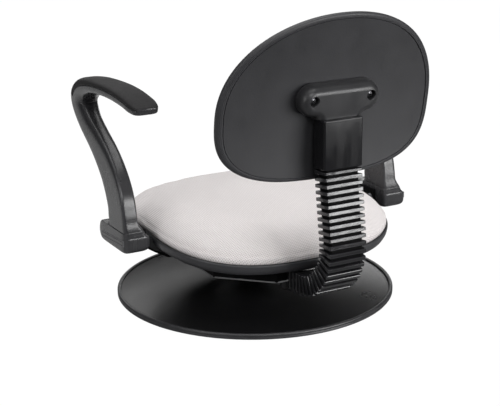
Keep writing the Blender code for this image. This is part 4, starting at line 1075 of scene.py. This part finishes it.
CLOTH = (0.74, 0.70, 0.695)
POWDER = powder_coat("Powder black", (0.006, 0.006, 0.0065), 0.30)
EDGE = rubber("Edge band", (0.020, 0.020, 0.022), 0.38)
SHELL = plastic("Seat shell charcoal", (0.030, 0.030, 0.033), 0.40)
PIPING = rubber("Piping black", (0.006, 0.006, 0.006), 0.5)
BACK_PANEL = plastic("Back panel charcoal", (0.024, 0.024, 0.0265), 0.50, grain=1100.0, relief=0.00008)
# The arm's pointy edges are painted much lighter: a painted highlight along its edges.
ARM = plastic("Arm charcoal", (0.027, 0.027, 0.029), 0.25, grain=800.0, relief=0.00004, edge_wear_and_highlight=0.9)
PAD = plastic("Pad charcoal", (0.018, 0.0175, 0.018), 0.62, 620.0, 0.00016, edge_wear_and_highlight=0.1, specular=0.14)
COVER = plastic("Cover black", (0.022, 0.022, 0.0235), 0.36, relief=0.00005)
# The sleeve's pointy edges are painted much lighter: a painted highlight along its edges.
SLEEVE = plastic("Sleeve black", (0.009, 0.009, 0.010), 0.15, 700.0, 0.00003, edge_wear_and_highlight=0.9, specular=0.24)
BOOT = rubber("Boot rubber", (0.010, 0.010, 0.011), 0.17)
# Near-black, matte material for the boot's hollows: painted shade between the ribs.
BOOT_HOLLOW_SHADE = plastic("Boot hollow painted shade", (0.003, 0.003, 0.003), 0.75, edge_wear_and_highlight=0.0, specular=0.08)
BLACK_SCREW = metal("Black oxide steel", (0.18, 0.18, 0.19), 0.36)
ZINC = metal("Zinc plated steel", (0.62, 0.62, 0.64), 0.32)
RACE = metal("Race steel", (0.55, 0.55, 0.57), 0.36, brush=(300.0, 300.0, 40.0))
BAR = powder_coat("Bar black", (0.014, 0.014, 0.015), 0.42)
# Near-black and almost without gloss: the pan's black paint darkened further as painted shade under the seat.
PAN = plastic("Pan black", (0.003, 0.003, 0.0033), 0.65, edge_wear_and_highlight=0.0, specular=0.10)
# Light grey, far lighter than the black pan: a painted highlight along the pan's lower edge.
PAN_LIP_HIGHLIGHT = powder_coat("Pan lip painted highlight", (0.20, 0.20, 0.205), 0.25)
UNDER = powder_coat("Under plate black", (0.022, 0.022, 0.024), 0.55)
KNOB = plastic("Knob black", (0.014, 0.014, 0.015), 0.42)
WOOD = plywood("Plywood")
SEAT_MIDDLE = (0.0, SEAT_CENTRE_Y, RIM_HEIGHT)
SEAT_CLOTH = woven("Seat cloth", CLOTH, SEAT_MIDDLE, (1, 0, 0), (0, 1, 0), (0, 0, 1), SEAT_CROWN)
BACK_AXES = ((1, 0, 0), tuple(BACK_UP), tuple(BACK_FORWARD))
BACK_CLOTH = woven("Back cloth", CLOTH, tuple(BACK_CENTRE), *BACK_AXES, BACK_CROWN)

SLOT_LOOKS = {
    "under_plate": UNDER, "base_paint": POWDER, "base_trim": EDGE, "race_steel": RACE, "fastener_steel": ZINC,
    "pan_paint": PAN, "knob_plastic": KNOB, "black_screws": BLACK_SCREW, "seat_shell_plastic": SHELL,
    "back_shell_plastic": BACK_PANEL, "arm_plastic": ARM, "cover_plastic": COVER, "sleeve_plastic": SLEEVE,
    "boot_rubber": BOOT, "bar_steel": BAR, "board_wood": WOOD, "cushion_fabric": SEAT_CLOTH,
}


def dress_frame():
    """Gives each CAD node the detailed material of its slot in the record."""
    for row in frame["record"]["subparts"]:
        node = frame["nodes"][row["node"]]
        node.data.materials.clear()
        node.data.materials.append(SLOT_LOOKS[row["material_slot"]])


# ---- camera, floor and lights


# Height of the direction from dark to bright, and the strength at each.
SKY = (0.20, 0.95, 0.08, 0.62)
REFLECTED_SKY = (0.35, 0.98, 0.02, 0.40)
# Floor Y and its grey in front of the chair and behind the camera.
FLOOR_GREYS = (-0.5, 0.8, 0.60, 0.01)
PANELS = (
    ("Top light", (0.1, 0.0, 2.4), (2.2, 2.2), 38),
    ("Low strip", (-0.85, 1.62, 0.105), (1.1, 0.17), 8),
    ("Rear right light", (-1.05, 2.15, 0.66), (1.5, 0.55), 28),
    ("Rear left light", (2.2, 0.9, 1.0), (0.7, 1.2), 10),
    ("Camera light", (0.7, 2.8, 1.9), (1.4, 1.0), 25),
    ("Front light", (-0.45, -2.0, 1.10), (1.8, 0.7), 6),
    ("Front right light", (-1.9, -1.9, 0.46), (1.0, 0.5), 3.8),
)


CAMERA_PLACE = (0.9332, 1.6928, 0.7274)
CAMERA_ANGLES = (151.33, 16.68, -0.72)
CAMERA_LENS = 87.15
PANEL_TARGET = (0.0, 0.05, 0.2)
FLOOR_HALF = 20.0


def build_camera():
    yaw, pitch, roll = (math.radians(angle) for angle in CAMERA_ANGLES)
    forward = Vector((-math.sin(yaw) * math.cos(pitch), math.cos(yaw) * math.cos(pitch), -math.sin(pitch)))
    level = forward.cross(Vector((0, 0, 1))).normalized()
    upright = level.cross(forward)
    right = level * math.cos(roll) + upright * math.sin(roll)
    up = upright * math.cos(roll) - level * math.sin(roll)
    camera = placed("Camera", bpy.data.cameras.new("Camera"))
    place = Matrix((right, up, -forward)).transposed().to_4x4()
    place.translation = CAMERA_PLACE
    camera.matrix_world = place
    camera.data.lens = CAMERA_LENS
    camera.data.sensor_width = 36.0
    bpy.context.scene.camera = camera


def build_floor():
    """Floor that is white to the camera, and grey along Y to light and reflections."""
    mesh = bpy.data.meshes.new("floor")
    half = FLOOR_HALF
    corners = [(-half, -half, 0), (half, -half, 0), (half, half, 0), (-half, half, 0)]
    mesh.from_pydata(corners, [], [(0, 1, 2, 3)])
    floor = placed("floor", mesh)
    paint = Look("Floor white")
    along = paint.add("ShaderNodeSeparateXYZ", {0: paint.place}).outputs["Y"]
    diffuse = paint.add("ShaderNodeBsdfDiffuse", {"Color": paint.remap(along, *FLOOR_GREYS)}).outputs[0]
    glow = paint.add("ShaderNodeEmission", {"Color": WHITE, "Strength": 1.05}).outputs[0]
    seen = paint.maths("MULTIPLY", paint.add("ShaderNodeLightPath").outputs["Is Camera Ray"], 0.95)
    mixer = paint.add("ShaderNodeMixShader", {0: seen, 1: diffuse, 2: glow})
    paint.feed(paint.tree.nodes["Material Output"].inputs["Surface"], mixer.outputs[0])
    mesh.materials.append(paint.material)


def build_lights():
    """White backdrop for the camera, and a soft sky that is dimmer in reflections."""
    world = bpy.data.worlds.new("Studio")
    bpy.context.scene.world = world
    world.use_nodes = True
    nodes = Nodes(world.node_tree)
    place = nodes.add("ShaderNodeTexCoord").outputs["Generated"]
    height = nodes.add("ShaderNodeSeparateXYZ", {0: place}).outputs["Z"]
    rays = nodes.add("ShaderNodeLightPath").outputs
    lit, reflected = nodes.remap(height, *SKY), nodes.remap(height, *REFLECTED_SKY)
    unseen = nodes.add("ShaderNodeMix", {0: rays["Is Glossy Ray"], 2: lit, 3: reflected}).outputs[0]
    strength = nodes.add("ShaderNodeMix", {0: rays["Is Camera Ray"], 2: unseen, 3: 1.0}).outputs[0]
    background = world.node_tree.nodes["Background"]
    nodes.feed(background.inputs["Strength"], strength)
    background.inputs["Color"].default_value = WHITE
    for name, position, size, power in PANELS:
        light = bpy.data.lights.new(name, "AREA")
        light.shape = "RECTANGLE"
        light.size, light.size_y = size
        light.energy = power
        panel = placed(name, light)
        panel.location = position
        panel.rotation_mode = "QUATERNION"
        panel.rotation_quaternion = (Vector(PANEL_TARGET) - Vector(position)).to_track_quat("-Z", "Y")
    bpy.context.scene.view_settings.view_transform = "Standard"


build_camera()
build_floor()
build_lights()
dress_frame()
build_base()
build_seat_shell()
build_seat_cushion()
build_back_shell()
build_back_cushion()
build_piping()
build_cover()
build_back_screws()
build_boot()
build_sleeve()
build_arms()
build_foot_inlays()
build_strap_webs()
build_pan_lip()
